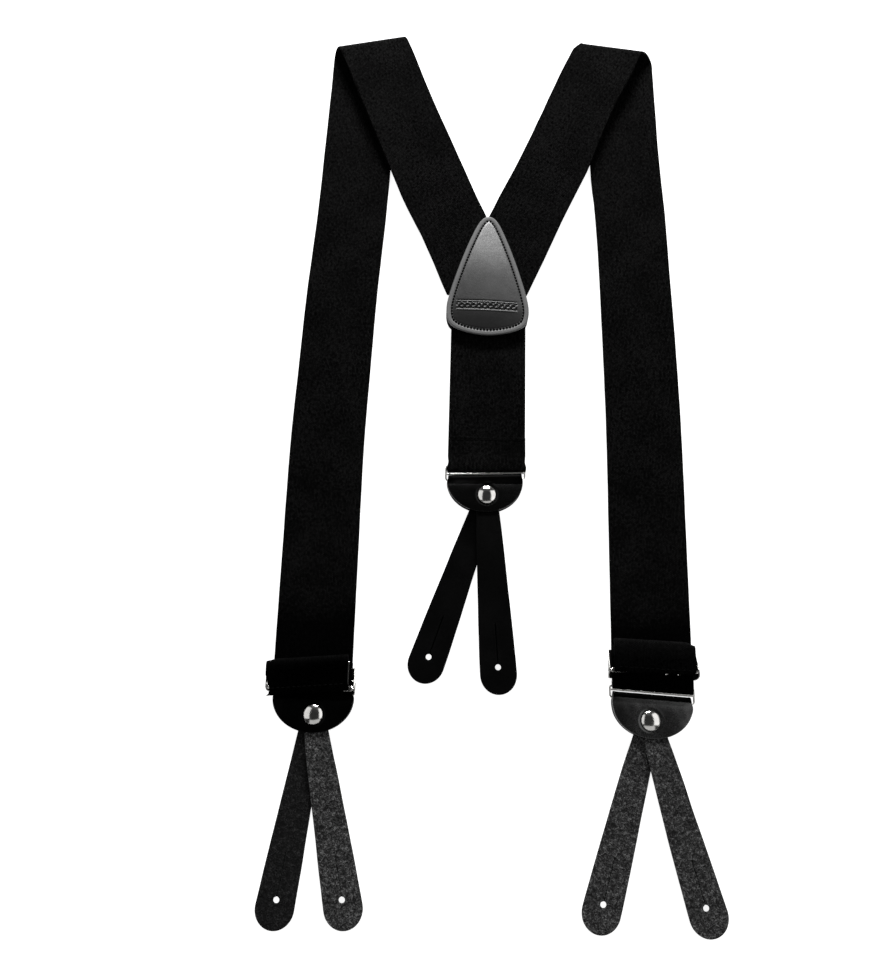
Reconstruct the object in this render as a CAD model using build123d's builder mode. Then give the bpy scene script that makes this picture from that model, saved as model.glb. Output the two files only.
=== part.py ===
from build123d import *
import math
import os

# Y-back button-on suspenders, laid flat with the back outside up.
# +Y runs from the tabs to the shoulders, +Z is up, the floor is z = 0. Millimetres.

# ---- webbing ----
WEB_W = 50.0  # 2-inch elastic webbing, finished width
BACK_W = 51.2  # back strap webbing, drawn in to the link where it is folded
WEB_T = 1.5
STRAP_Z = 0.95  # underside of a strap where it runs through the hardware
ROLL_R = 6.0  # outer radius of the soft shoulder fold

# ---- leather ----
LEATHER_T = 1.5
TAB_NECK_W = 14.6
TAB_GROWTH = 0.0815  # extra width per millimetre of length
TAB_END_R = 11.75
BUTTONHOLE_R = 2.1
SLIT_LEN = 27.5
SLIT_W = 0.8
END_HALF_W = 25.3  # half width of the half-round end leather
FOLD_IN = 0.8  # inner radius of every wrap round a link bar

# ---- connector link (three-bar wire ring) ----
WIRE_R = 0.7
LINK_HALF_IN = 25.75
BAR_Z = STRAP_Z + WEB_T + FOLD_IN
TOP_TO_BOTTOM = 8.6
MID_TO_BOTTOM = 4.9

# ---- rivet ----
RIVET_SHANK_R = 2.0
RIVET_CAP_R = 6.5
RIVET_BACK_R = 5.5
TAB_A_Z = 2.5
TAB_B_Z = 4.1
END_TOP_Z = 5.7  # underside of the upper end leather at the rivet

# ---- adjuster ----
PLATE_T = 0.8
EAR_IN = 28.15
EAR_T = 0.8
EAR_TOP = 9.2
FLAP_LEN = 20.2
PIVOT_V = 19.2
PIVOT_Z = 7.7
TRUNNION_R = 0.94
TOOTH_PITCH = 7.8
LINK_TRAVEL = 50.0

# ---- layout of the three ends: centre x, bottom-bar y ----
LEFT_X, LEFT_Y = -114.0, -175.4
RIGHT_X, RIGHT_Y = 100.7, -173.5
BACK_X, BACK_Y = -6.4, -32.3
# top edge of each end loop, and how far the adjuster and its loop sit off centre
LEFT_FLAP_Y, LEFT_ADJ_DX, LEFT_FLAP_DX = -152.6, -0.1, -2.85
RIGHT_FLAP_Y, RIGHT_ADJ_DX, RIGHT_FLAP_DX = -136.3, 0.0, 0.7

# sideways set of each link, end leather and rivet from its strap
LEFT_SET = (0.7, 1.8, 2.6)
RIGHT_SET = (-0.4, -0.7, -2.5)
BACK_SET = (-0.2, -0.5, 0.9)

# ---- tabs: swing from straight down, and rivet-to-buttonhole length ----
LEFT_TABS = (-8.4, 12.4, 108.6)
RIGHT_TABS = (-15.9, 15.8, 111.2)
BACK_TABS = (-18.4, 4.5, 112.2)

# ---- plan lines ----
LEFT_LINE = [(-114, -155), (-114, -29), (-113.7, -2), (-112.6, 33), (-111.4, 69), (-109.9, 106), (-107.6, 144), (-105.6, 183), (-104.2, 224), (-102.8, 266), (-102.2, 297)]
RIGHT_LINE = [(100.7, -155), (100.7, -29), (100.5, 5), (100.0, 39), (99.2, 75), (98.1, 112), (96.8, 151), (94.9, 191), (93.1, 221), (92.0, 252), (91.0, 284), (90.2, 299)]
LEFT_CREASE = (-98.7, 302.7, 10.8)  # centre of the fold axis and its angle
RIGHT_CREASE = (83.7, 302.9, -8.0)
LEFT_V = (-96.9, 302.7, 23.5)  # start of the run to the yoke and its lean
RIGHT_V = (79.9, 302.7, -23.4)

# ---- yoke ----
YOKE_X = -6.9
YOKE_HALF = [(0, 163.3), (4.2, 161.6), (8.2, 156), (13.6, 143.5), (19.2, 128), (24.2, 112), (27.6, 99), (28.9, 91), (28.4, 83.5), (25.6, 77.9), (19.0, 74), (9.5, 71.5), (0, 70.6)]
YOKE_CUT_Y = 102.0
Z_BACK_PATCH = (0.0, 1.3)
Z_BACK_STRAP = 1.4
Z_LEFT_V = 3.0
Z_RIGHT_V = 4.6
Z_FRONT_PATCH = (6.2, 7.8)

os.makedirs("parts", exist_ok=True)


def ribbon(path, thickness):
    """Outline of a ribbon of even thickness along a path of points."""
    left, right = [], []
    n = len(path)
    for i, (a, b) in enumerate(path):
        dirs = []
        if i:
            dirs.append((a - path[i - 1][0], b - path[i - 1][1]))
        if i < n - 1:
            dirs.append((path[i + 1][0] - a, path[i + 1][1] - b))
        units = [(x / math.hypot(x, y), y / math.hypot(x, y)) for x, y in dirs]
        tx, ty = sum(u[0] for u in units), sum(u[1] for u in units)
        k = math.hypot(tx, ty)
        tx, ty = tx / k, ty / k
        half = thickness / 2 / max(0.5, tx * units[0][0] + ty * units[0][1])
        left.append((a - ty * half, b + tx * half))
        right.append((a + ty * half, b - tx * half))
    return left + right[::-1]


def wrap(cy, cz, r, start, end, steps=10):
    """Points on an arc in the Y-Z plane, angles in degrees from +Y towards +Z."""
    out = []
    for i in range(steps + 1):
        a = math.radians(start + (end - start) * i / steps)
        out.append((cy + r * math.cos(a), cz + r * math.sin(a)))
    return out


def edge_lines(line, width):
    """Left and right edge of a strap that follows a plan line."""
    left, right = [], []
    n = len(line)
    for i, (x, y) in enumerate(line):
        ax, ay = line[max(0, i - 1)]
        bx, by = line[min(n - 1, i + 1)]
        k = math.hypot(bx - ax, by - ay)
        tx, ty = (bx - ax) / k, (by - ay) / k
        left.append((x - ty * width / 2, y + tx * width / 2))
        right.append((x + ty * width / 2, y - tx * width / 2))
    return left, right


def front_strap(line, crease, v_run, v_z, bottom_y):
    """Front strap with its shoulder fold and its run to the yoke, one length of webbing."""
    cx, cy, ca = crease
    a = math.radians(ca)
    ex, ey = math.cos(a), math.sin(a)
    left, right = edge_lines(line, WEB_W)
    left = [p for p in left if p[1] < cy - 12]
    right = [p for p in right if p[1] < cy - 12]
    end_y = bottom_y + TOP_TO_BOTTOM + LINK_TRAVEL - 4.0
    left[0] = (left[0][0], end_y)
    right[0] = (right[0][0], end_y)
    top_l = (cx - 26.2 * ex - 2.4, cy - 26.2 * ey)
    top_r = (cx + 26.2 * ex - 2.4, cy + 26.2 * ey)
    outline = left + [top_l, top_r] + right[::-1]
    zc = STRAP_Z + WEB_T / 2
    side = ribbon([(end_y - 1, zc), (-3, zc), (40, WEB_T / 2), (cy + 8, WEB_T / 2)], WEB_T)
    vx, vy, va = v_run
    b = math.radians(va)
    ux, uy = math.sin(b), -math.cos(b)
    top = 2 * ROLL_R - WEB_T / 2
    low = v_z + WEB_T / 2
    run = ribbon([(0, top), (6, top), (24, top - 0.9), (146, low + 0.25), (158, low), (226, low)], WEB_T)
    roll = [(-1.5, 0), (0, 0)]
    roll += wrap(0, ROLL_R, ROLL_R, -90, 90, 14)
    roll += [(-1.5, 2 * ROLL_R), (-1.5, 2 * ROLL_R - WEB_T)]
    roll += wrap(0, ROLL_R, ROLL_R - WEB_T, 90, -90, 14)
    roll += [(-1.5, WEB_T)]
    with BuildPart() as strap:
        with BuildSketch(Plane.YZ.offset(cx)):
            with BuildLine():
                Polyline(*side, close=True)
            make_face()
        extrude(amount=90, both=True)
        with BuildSketch(Plane.XY.offset(-2)):
            with BuildLine():
                Polyline(*outline, close=True)
            make_face()
        extrude(amount=8, mode=Mode.INTERSECT)
        with BuildSketch(Plane(origin=(cx, cy, 0), x_dir=(-ey, ex, 0), z_dir=(ex, ey, 0))):
            with BuildLine():
                Polyline(*roll, close=True)
            make_face()
        extrude(amount=26.3, both=True)
        with BuildSketch(Plane(origin=(vx, vy, 0), x_dir=(ux, uy, 0), z_dir=(uy, -ux, 0))):
            with BuildLine():
                Polyline(*run, close=True)
            make_face()
        extrude(amount=WEB_W / 2, both=True)
        with BuildSketch(Plane.XY.offset(2.0)):
            with Locations((YOKE_X, YOKE_CUT_Y - 40)):
                Rectangle(110, 80)
        extrude(amount=20, mode=Mode.SUBTRACT)
    return strap


def link_ring(cx, bottom_y):
    """Three-bar wire link: webbing bar, bare middle bar, leather bar."""
    half = LINK_HALF_IN + WIRE_R
    with BuildPart() as ring:
        for y in (bottom_y, bottom_y + MID_TO_BOTTOM, bottom_y + TOP_TO_BOTTOM):
            with BuildSketch(Plane(origin=(cx - half, y, BAR_Z), x_dir=(0, 1, 0), z_dir=(1, 0, 0))):
                Circle(WIRE_R - 0.03)
            extrude(amount=2 * half)
        for x in (cx - half, cx + half):
            with BuildSketch(Plane(origin=(x, bottom_y - WIRE_R, BAR_Z), x_dir=(0, 0, 1), z_dir=(0, 1, 0))):
                Circle(WIRE_R)
            extrude(amount=TOP_TO_BOTTOM + 2 * WIRE_R)
    return ring


def strap_loop(cx, bottom_y):
    """Lower end of the strap: the under layer and the turn round the link's top bar."""
    ty = bottom_y + TOP_TO_BOTTOM
    zc = STRAP_Z + WEB_T / 2
    r = FOLD_IN + WEB_T / 2
    path = [(ty + LINK_TRAVEL - 4.15, zc), (ty, zc)] + wrap(ty, BAR_Z, r, 270, 90, 12)[1:] + [(ty + 2.0, BAR_Z + r)]
    with BuildPart() as loop:
        with BuildSketch(Plane.YZ.offset(cx)):
            with BuildLine():
                Polyline(*ribbon(path, WEB_T), close=True)
            make_face()
        extrude(amount=WEB_W / 2, both=True)
    return loop


def return_band(cx, bottom_y, flap_y):
    """Webbing that comes back up from the link to the adjuster."""
    zc = BAR_Z + FOLD_IN + WEB_T / 2
    path = [(bottom_y + TOP_TO_BOTTOM + 2.1, zc), (flap_y - 3.0, zc)]
    with BuildPart() as band:
        with BuildSketch(Plane.YZ.offset(cx)):
            with BuildLine():
                Polyline(*ribbon(path, WEB_T), close=True)
            make_face()
        extrude(amount=WEB_W / 2, both=True)
    return band


def adjuster_plate(cx, flap_y):
    """Outer face plate of the adjuster with an ear up each side of the strap."""
    half = EAR_IN + EAR_T
    ear = [(flap_y - 6, 0), (flap_y - 25, 0), (flap_y - 25, 3.4), (flap_y - 22.2, EAR_TOP - 1.2), (flap_y - 20.6, EAR_TOP), (flap_y - 17.8, EAR_TOP), (flap_y - 16.2, EAR_TOP - 1.2), (flap_y - 8, 3.0), (flap_y - 6, 2.0)]
    with BuildPart() as plate:
        with BuildSketch(Plane.XY):
            with Locations((cx, flap_y - 15.5)):
                Rectangle(2 * half, 19)
        extrude(amount=PLATE_T)
        for x in (cx - half, cx + EAR_IN):
            with BuildSketch(Plane.YZ.offset(x)):
                with BuildLine():
                    Polyline(*ear, close=True)
                make_face()
            extrude(amount=EAR_T)
        with BuildSketch(Plane.YZ.offset(cx - half - 1)):
            with Locations((flap_y - PIVOT_V, PIVOT_Z)):
                Circle(TRUNNION_R + 0.06)
        extrude(amount=2 * half + 2, mode=Mode.SUBTRACT)
        with BuildSketch(Plane.XY.offset(-1)):
            with Locations((cx, flap_y - 13.0)):
                SlotOverall(34, 5)
        extrude(amount=3, mode=Mode.SUBTRACT)
    return plate


def toothed_bar(cx, flap_y):
    """Hinged back bar of the adjuster, toothed along its lower edge."""
    with BuildPart() as bar:
        with BuildSketch(Plane.XY.offset(PIVOT_Z - 0.45)):
            with Locations((cx, flap_y - 9.9)):
                Rectangle(47.0, 15.6)
            with Locations((cx, flap_y - 19.1)):
                Rectangle(2 * (EAR_IN - 0.35), 3.0)
        extrude(amount=0.9)
        with BuildSketch(Plane.XY.offset(6.2)):
            with Locations((cx + 0.2, flap_y - FLAP_LEN - 0.65)):
                with GridLocations(TOOTH_PITCH, 1, 7, 1):
                    Rectangle(1.7, 0.9)
        extrude(amount=1.95)
        for x, length in ((cx - EAR_IN - EAR_T - 0.1, 1.26), (cx + EAR_IN - 0.36, 1.26)):
            with BuildSketch(Plane.YZ.offset(x)):
                with Locations((flap_y - PIVOT_V, PIVOT_Z)):
                    Circle(TRUNNION_R)
            extrude(amount=length)
    return bar


def end_flap(cx, flap_y):
    """Cut end of the webbing, wrapped round the toothed bar."""
    r = 1.3
    path = [(flap_y - 17.6, PIVOT_Z - r), (flap_y - 2.05, PIVOT_Z - r)] + wrap(flap_y - 2.05, PIVOT_Z, r, -90, 90, 12)[1:] + [(flap_y - FLAP_LEN, PIVOT_Z + r)]
    with BuildPart() as flap:
        with BuildSketch(Plane.YZ.offset(cx)):
            with BuildLine():
                Polyline(*ribbon(path, WEB_T), close=True)
            make_face()
        extrude(amount=WEB_W / 2, both=True)
    return flap


def stitch_row(cx, y, z, count, pitch):
    """A straight row of thread stitches that lies on the webbing."""
    with BuildPart() as row:
        with Locations((cx, y, z)):
            with GridLocations(pitch, 1, count, 1):
                Box(pitch * 0.66, 0.5, 0.3, align=(Align.CENTER, Align.CENTER, Align.MIN))
    return row


def end_leather(cx, rivet_x, bottom_y, bottom_len, rivet_dy):
    """Half-round leather folded round the link's bottom bar, both layers."""
    r = FOLD_IN + LEATHER_T / 2
    tip = bottom_y - bottom_len
    low = STRAP_Z + LEATHER_T / 2 - 0.05
    high = END_TOP_Z + LEATHER_T / 2
    path = [(tip - 2, low), (bottom_y - 6, low), (bottom_y, BAR_Z - r)] + wrap(bottom_y, BAR_Z, r, -90, 90, 12)[1:] + [(bottom_y - 1.2, BAR_Z + r + 0.1), (bottom_y - 6.2, high), (tip - 2, high)]
    top_y = bottom_y - 2.0
    outline = [(cx - 24.5, bottom_y + 4), (cx - 24.5, bottom_y)]
    for i in range(25):
        a = math.pi + math.pi * i / 24
        outline.append((cx + END_HALF_W * math.copysign(abs(math.cos(a)) ** 0.94, math.cos(a)), top_y - (top_y - tip) * abs(math.sin(a)) ** 0.94))
    outline += [(cx + 24.5, bottom_y), (cx + 24.5, bottom_y + 4)]
    with BuildPart() as leather:
        with BuildSketch(Plane.YZ.offset(cx)):
            with BuildLine():
                Polyline(*ribbon(path, LEATHER_T), close=True)
            make_face()
        extrude(amount=30, both=True)
        with BuildSketch(Plane.XY.offset(-1)):
            with BuildLine():
                Polyline(*outline, close=True)
            make_face()
        extrude(amount=12, mode=Mode.INTERSECT)
        with BuildSketch(Plane.XY.offset(-1)):
            with Locations((rivet_x, bottom_y - rivet_dy)):
                Circle(RIVET_SHANK_R + 0.05)
        extrude(amount=12, mode=Mode.SUBTRACT)
    return leather


def rivet_cap(cx, y):
    """Domed cap and its shank."""
    z = END_TOP_Z + LEATHER_T + 0.05
    with BuildPart() as cap:
        with BuildSketch(Plane(origin=(cx, y, 0), x_dir=(1, 0, 0), z_dir=(0, -1, 0))):
            with BuildLine():
                Polyline((0, 0.15), (RIVET_SHANK_R, 0.15), (RIVET_SHANK_R, z), (RIVET_CAP_R - 0.4, z), (RIVET_CAP_R, z + 0.3), (RIVET_CAP_R - 0.15, z + 0.75), (5.2, z + 1.25), (3.6, z + 1.62), (1.9, z + 1.83), (0, z + 1.9), close=True)
            make_face()
        revolve(axis=Axis((cx, y, 0), (0, 0, 1)))
    return cap


def rivet_back(cx, y):
    """Back cap that the shank is set in."""
    with BuildPart() as back:
        with BuildSketch(Plane.XY):
            with Locations((cx, y)):
                Circle(RIVET_BACK_R)
                Circle(RIVET_SHANK_R + 0.05, mode=Mode.SUBTRACT)
        extrude(amount=0.85)
        chamfer(back.faces().sort_by(Axis.Z)[0].edges().sort_by(SortBy.LENGTH)[-1], 0.25)
    return back


def button_tab(cx, y, z, swing, hole_s):
    """Leather tab on the rivet, with its buttonhole and slit."""
    a = math.radians(swing)
    dx, dy = math.sin(a), -math.cos(a)
    px, py = -dy, dx

    def at(s, w):
        return (cx + dx * s + px * w, y + dy * s + py * w)

    end_s = hole_s + 4.6
    edge = [(-4.3, 3.4), (-2.0, 5.9), (3.0, TAB_NECK_W / 2), (13, TAB_NECK_W / 2 + 0.35), (60, (TAB_NECK_W + 60 * TAB_GROWTH) / 2), (end_s - 4, TAB_END_R - 0.1)]
    round_end = [(end_s + TAB_END_R * 1.07 * math.sin(t), TAB_END_R * math.cos(t)) for t in [math.pi * i / 18 for i in range(0, 19)]]
    outline = [at(s, w) for s, w in edge] + [at(s, w) for s, w in round_end] + [at(s, -w) for s, w in edge[::-1]] + [at(-5.0, 0)]
    with BuildPart() as tab:
        with BuildSketch(Plane.XY.offset(z)):
            with BuildLine():
                Polyline(*outline, close=True)
            make_face()
            with Locations((cx, y)):
                Circle(RIVET_SHANK_R + 0.06, mode=Mode.SUBTRACT)
            with Locations(at(hole_s, 0)):
                Circle(BUTTONHOLE_R, mode=Mode.SUBTRACT)
            with Locations(Location((*at(hole_s - SLIT_LEN / 2 - 0.5, 0), 0), (0, 0, swing))):
                Rectangle(SLIT_W, SLIT_LEN - 1, mode=Mode.SUBTRACT)
        extrude(amount=LEATHER_T)
    return tab


# ---- straps ----
left_strap = front_strap(LEFT_LINE, LEFT_CREASE, LEFT_V, Z_LEFT_V, LEFT_Y)
left_strap.part.label = "left_strap"
export_step(left_strap.part, "parts/left_strap.step")

right_strap = front_strap(RIGHT_LINE, RIGHT_CREASE, RIGHT_V, Z_RIGHT_V, RIGHT_Y)
right_strap.part.label = "right_strap"
export_step(right_strap.part, "parts/right_strap.step")

# back strap: from inside the yoke, round the link's top bar and back into its sewn hem
back_top = BACK_Y + TOP_TO_BOTTOM
back_r = FOLD_IN + WEB_T / 2
back_path = [(155, Z_BACK_STRAP + WEB_T / 2), (63, Z_BACK_STRAP + WEB_T / 2), (35, STRAP_Z + WEB_T / 2), (back_top, STRAP_Z + WEB_T / 2)]
back_path += wrap(back_top, BAR_Z, back_r, 270, 90, 12)[1:]
back_path += [(back_top + 1.5, BAR_Z + back_r - 0.1), (back_top + 7.5, STRAP_Z + 1.5 * WEB_T + 0.08), (-3.0, STRAP_Z + 1.5 * WEB_T + 0.08)]
back_outline = [(BACK_X - WEB_W / 2, back_top - 5), (BACK_X - WEB_W / 2, back_top + 3), (BACK_X - BACK_W / 2, back_top + 10), (BACK_X - BACK_W / 2, 96), (YOKE_X - 11, 137), (YOKE_X - 4, 150), (YOKE_X + 4, 150), (YOKE_X + 11, 137), (BACK_X + BACK_W / 2 - 0.6, 96), (BACK_X + BACK_W / 2, 85), (BACK_X + BACK_W / 2, back_top + 10), (BACK_X + WEB_W / 2, back_top + 3), (BACK_X + WEB_W / 2, back_top - 5)]
with BuildPart() as back_strap:
    with BuildSketch(Plane.YZ.offset(BACK_X)):
        with BuildLine():
            Polyline(*ribbon(back_path, WEB_T), close=True)
        make_face()
    extrude(amount=40, both=True)
    with BuildSketch(Plane.XY.offset(-1)):
        with BuildLine():
            Polyline(*back_outline, close=True)
        make_face()
    extrude(amount=12, mode=Mode.INTERSECT)
back_strap.part.label = "back_strap"
export_step(back_strap.part, "parts/back_strap.step")

# ---- yoke: two leather patches that sandwich the three straps, and the seam ----
yoke_outline = [(YOKE_X - x, y) for x, y in YOKE_HALF] + [(YOKE_X + x, y) for x, y in YOKE_HALF[-2:0:-1]]
with BuildPart() as yoke_back_patch:
    with BuildSketch(Plane.XY.offset(Z_BACK_PATCH[0])):
        with BuildLine():
            Spline(*yoke_outline, periodic=True)
        make_face()
    extrude(amount=Z_BACK_PATCH[1] - Z_BACK_PATCH[0])
yoke_back_patch.part.label = "yoke_back_patch"
export_step(yoke_back_patch.part, "parts/yoke_back_patch.step")

with BuildPart() as yoke_front_patch:
    with BuildSketch(Plane.XY.offset(Z_FRONT_PATCH[0])):
        with BuildLine():
            Spline(*yoke_outline, periodic=True)
        make_face()
    extrude(amount=Z_FRONT_PATCH[1] - Z_FRONT_PATCH[0])
yoke_front_patch.part.label = "yoke_front_patch"
export_step(yoke_front_patch.part, "parts/yoke_front_patch.step")

# seam: thread stitches in a closed row inside the patch's edge
inner = []
for i, (x, y) in enumerate(yoke_outline):
    ax, ay = yoke_outline[i - 1]
    bx, by = yoke_outline[(i + 1) % len(yoke_outline)]
    k = math.hypot(bx - ax, by - ay)
    inner.append((x - (by - ay) / k * 3.6, y + (bx - ax) / k * 3.6))
seam = []
for i, (x, y) in enumerate(inner):
    nx, ny = inner[(i + 1) % len(inner)]
    run = math.hypot(nx - x, ny - y)
    count = max(1, round(run / 3.1))
    for j in range(count):
        t = (j + 0.5) / count
        seam.append(Location((x + (nx - x) * t, y + (ny - y) * t, Z_FRONT_PATCH[1] + 0.02), (0, 0, math.degrees(math.atan2(ny - y, nx - x)))))
with BuildPart() as yoke_stitching:
    with Locations(*seam):
        Box(2.0, 0.5, 0.3, align=(Align.CENTER, Align.CENTER, Align.MIN))
yoke_stitching.part.label = "yoke_stitching"
export_step(yoke_stitching.part, "parts/yoke_stitching.step")

back_hem_stitching = stitch_row(BACK_X, -4.6, STRAP_Z + 2 * WEB_T + 0.1, 15, 3.2)
back_hem_stitching.part.label = "back_hem_stitching"
export_step(back_hem_stitching.part, "parts/back_hem_stitching.step")

# ---- front ends ----
fronts = (
    ("left", LEFT_X, LEFT_Y, LEFT_FLAP_Y, LEFT_ADJ_DX, LEFT_FLAP_DX, LEFT_TABS),
    ("right", RIGHT_X, RIGHT_Y, RIGHT_FLAP_Y, RIGHT_ADJ_DX, RIGHT_FLAP_DX, RIGHT_TABS),
)
for side_name, cx, by, flap_y, adj_dx, flap_dx, tabs in fronts:
    loop = strap_loop(cx, by)
    loop.part.label = f"{side_name}_strap_loop"
    export_step(loop.part, f"parts/{side_name}_strap_loop.step")

    band = return_band(cx, by, flap_y)
    band.part.label = f"{side_name}_return_band"
    export_step(band.part, f"parts/{side_name}_return_band.step")

    plate = adjuster_plate(cx + adj_dx, flap_y)
    plate.part.label = f"{side_name}_adjuster_plate"
    export_step(plate.part, f"parts/{side_name}_adjuster_plate.step")

    bar = toothed_bar(cx + adj_dx, flap_y)
    bar.part.label = f"{side_name}_toothed_bar"
    export_step(bar.part, f"parts/{side_name}_toothed_bar.step")

    flap = end_flap(cx + flap_dx, flap_y)
    flap.part.label = f"{side_name}_end_flap"
    export_step(flap.part, f"parts/{side_name}_end_flap.step")

    stitches = stitch_row(cx + flap_dx, flap_y - FLAP_LEN + 2.2, PIVOT_Z + 2.08, 14, 3.3)
    stitches.part.label = f"{side_name}_end_stitching"
    export_step(stitches.part, f"parts/{side_name}_end_stitching.step")

# ---- link, end leather, rivet and tabs at each of the three ends ----
ends = (
    ("left", LEFT_X, LEFT_Y, 23.3, 12.4, LEFT_SET, LEFT_TABS),
    ("right", RIGHT_X, RIGHT_Y, 23.3, 12.4, RIGHT_SET, RIGHT_TABS),
    ("back", BACK_X, BACK_Y, 23.0, 11.4, BACK_SET, BACK_TABS),
)
for end_name, strap_x, by, leather_len, rivet_dy, sets, tabs in ends:
    cx = strap_x + sets[2]
    ring = link_ring(strap_x + sets[0], by)
    ring.part.label = f"{end_name}_link_ring"
    export_step(ring.part, f"parts/{end_name}_link_ring.step")

    leather = end_leather(strap_x + sets[1], cx, by, leather_len, rivet_dy)
    leather.part.label = f"{end_name}_end_leather"
    export_step(leather.part, f"parts/{end_name}_end_leather.step")

    cap = rivet_cap(cx, by - rivet_dy)
    cap.part.label = f"{end_name}_rivet_cap"
    export_step(cap.part, f"parts/{end_name}_rivet_cap.step")

    back = rivet_back(cx, by - rivet_dy)
    back.part.label = f"{end_name}_rivet_back"
    export_step(back.part, f"parts/{end_name}_rivet_back.step")

    tab_a = button_tab(cx, by - rivet_dy, TAB_A_Z, tabs[0], tabs[2])
    tab_a.part.label = f"{end_name}_tab_lower"
    export_step(tab_a.part, f"parts/{end_name}_tab_lower.step")

    tab_b = button_tab(cx, by - rivet_dy, TAB_B_Z, tabs[1], tabs[2])
    tab_b.part.label = f"{end_name}_tab_upper"
    export_step(tab_b.part, f"parts/{end_name}_tab_upper.step")
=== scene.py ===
import bpy
import bmesh
import math
import numpy as np
from mathutils import Matrix, Vector, noise
from mathutils.geometry import delaunay_2d_cdt


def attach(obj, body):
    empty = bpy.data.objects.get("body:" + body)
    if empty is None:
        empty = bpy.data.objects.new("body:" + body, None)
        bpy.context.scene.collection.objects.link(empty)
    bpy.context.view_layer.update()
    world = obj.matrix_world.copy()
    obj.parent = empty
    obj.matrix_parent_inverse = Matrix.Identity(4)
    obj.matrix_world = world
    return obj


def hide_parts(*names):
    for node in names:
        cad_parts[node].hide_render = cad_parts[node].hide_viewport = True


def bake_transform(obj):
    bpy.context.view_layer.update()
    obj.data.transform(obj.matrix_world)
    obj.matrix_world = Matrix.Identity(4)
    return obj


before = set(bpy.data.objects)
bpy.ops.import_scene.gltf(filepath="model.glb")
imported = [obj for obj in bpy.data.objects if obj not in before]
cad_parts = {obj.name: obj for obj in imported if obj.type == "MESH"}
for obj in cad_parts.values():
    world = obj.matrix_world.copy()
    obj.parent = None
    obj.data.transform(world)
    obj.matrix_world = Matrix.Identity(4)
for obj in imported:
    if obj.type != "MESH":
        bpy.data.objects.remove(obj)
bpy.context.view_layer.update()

# All working sizes are in millimetres and are scaled when a mesh is made.
MM = 0.001
scene = bpy.context.scene


# ------------------------------------------------------------------ camera
TILT, ROLL, DIST = math.radians(15.0), math.radians(1.6), 600.0
back = np.array([0.0, -math.sin(TILT), math.cos(TILT)])
right0, up0 = np.array([1.0, 0, 0]), np.array([0.0, math.cos(TILT), math.sin(TILT)])
cam_x = math.cos(ROLL) * right0 + math.sin(ROLL) * up0
cam_y = -math.sin(ROLL) * right0 + math.cos(ROLL) * up0
cam_pos = back * DIST + np.array([-36.0, -38.5, 0.0])
cam_data = bpy.data.cameras.new("camera")
cam_data.sensor_width = 36.0
cam_data.lens = 894.0 / 977.0 * 36.0
cam_data.clip_start, cam_data.clip_end = 0.01, 20.0
camera = bpy.data.objects.new("camera", cam_data)
scene.collection.objects.link(camera)
m = Matrix.Identity(4)
for i in range(3):
    m[i][0], m[i][1], m[i][2], m[i][3] = cam_x[i], cam_y[i], back[i], cam_pos[i] * MM
camera.matrix_world = m
scene.camera = camera
scene.view_settings.view_transform = "Standard"
scene.view_settings.look = "None"


# ------------------------------------------------------------------ small helpers
def smooth(x):
    x = np.clip(x, 0.0, 1.0)
    return x * x * (3 - 2 * x)


def bump(x, c, w):
    return np.exp(-(((x - c) / w) ** 2))


def wobble(x, y, scale, seed=0.0, octaves=2):
    """Smooth deterministic noise, about -1 to 1, for arrays of points in millimetres."""
    x, y = np.broadcast_arrays(np.asarray(x, float), np.asarray(y, float))
    out = np.empty(x.size)
    for i, (a, b) in enumerate(zip(x.ravel(), y.ravel())):
        v, amp, s = 0.0, 1.0, scale
        for _ in range(octaves):
            v += amp * noise.noise(Vector((a / s, b / s, seed)))
            amp *= 0.5
            s *= 0.5
        out[i] = v
    return out.reshape(x.shape)


def catmull(points, per=8, closed=False):
    p = np.array(points, float)
    n = len(p)
    out = []
    last = n if closed else n - 1
    for i in range(last):
        if closed:
            a, b, c, d = p[(i - 1) % n], p[i], p[(i + 1) % n], p[(i + 2) % n]
        else:
            b, c = p[i], p[i + 1]
            a = p[i - 1] if i else 2 * b - c
            d = p[i + 2] if i < n - 2 else 2 * c - b
        for j in range(per):
            t = j / per
            out.append(0.5 * (2 * b + (c - a) * t + (2 * a - 5 * b + 4 * c - d) * t * t + (3 * b - a - 3 * c + d) * t ** 3))
    if not closed:
        out.append(p[-1])
    return np.array(out)


def resample(p, step, closed=False):
    """Points an even step apart along a polyline, and their arc lengths."""
    p = np.asarray(p, float)
    if closed:
        p = np.vstack([p, p[:1]])
    d = np.linalg.norm(np.diff(p, axis=0), axis=1)
    s = np.concatenate([[0], np.cumsum(d)])
    n = max(2, int(round(s[-1] / step)))
    q = np.linspace(0, s[-1], n + 1)
    out = np.stack([np.interp(q, s, p[:, k]) for k in range(p.shape[1])], 1)
    return (out[:-1], q[:-1]) if closed else (out, q)


def new_object(name, verts, faces, uvs=None, smooth_shade=True, material=None, sharp=None):
    me = bpy.data.meshes.new(name)
    me.from_pydata([tuple(v) for v in np.asarray(verts, float) * MM], [], faces)
    if uvs is not None:
        layer = me.uv_layers.new(name="UVMap")
        idx = np.empty(len(me.loops), np.int32)
        me.loops.foreach_get("vertex_index", idx)
        layer.data.foreach_set("uv", (np.asarray(uvs, float)[idx] * MM).astype(np.float32).ravel())
    bm = bmesh.new()
    bm.from_mesh(me)
    bmesh.ops.recalc_face_normals(bm, faces=bm.faces)
    bm.to_mesh(me)
    bm.free()
    me.polygons.foreach_set("use_smooth", [smooth_shade] * len(me.polygons))
    me.update()
    ob = bpy.data.objects.new(name, me)
    scene.collection.objects.link(ob)
    if sharp is not None:
        me.set_sharp_from_angle(angle=math.radians(sharp))
    if material:
        me.materials.append(material)
    return ob


# ------------------------------------------------------------------ webbing bands
WEB_T = 1.5
WEB_W = 50.0


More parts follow.
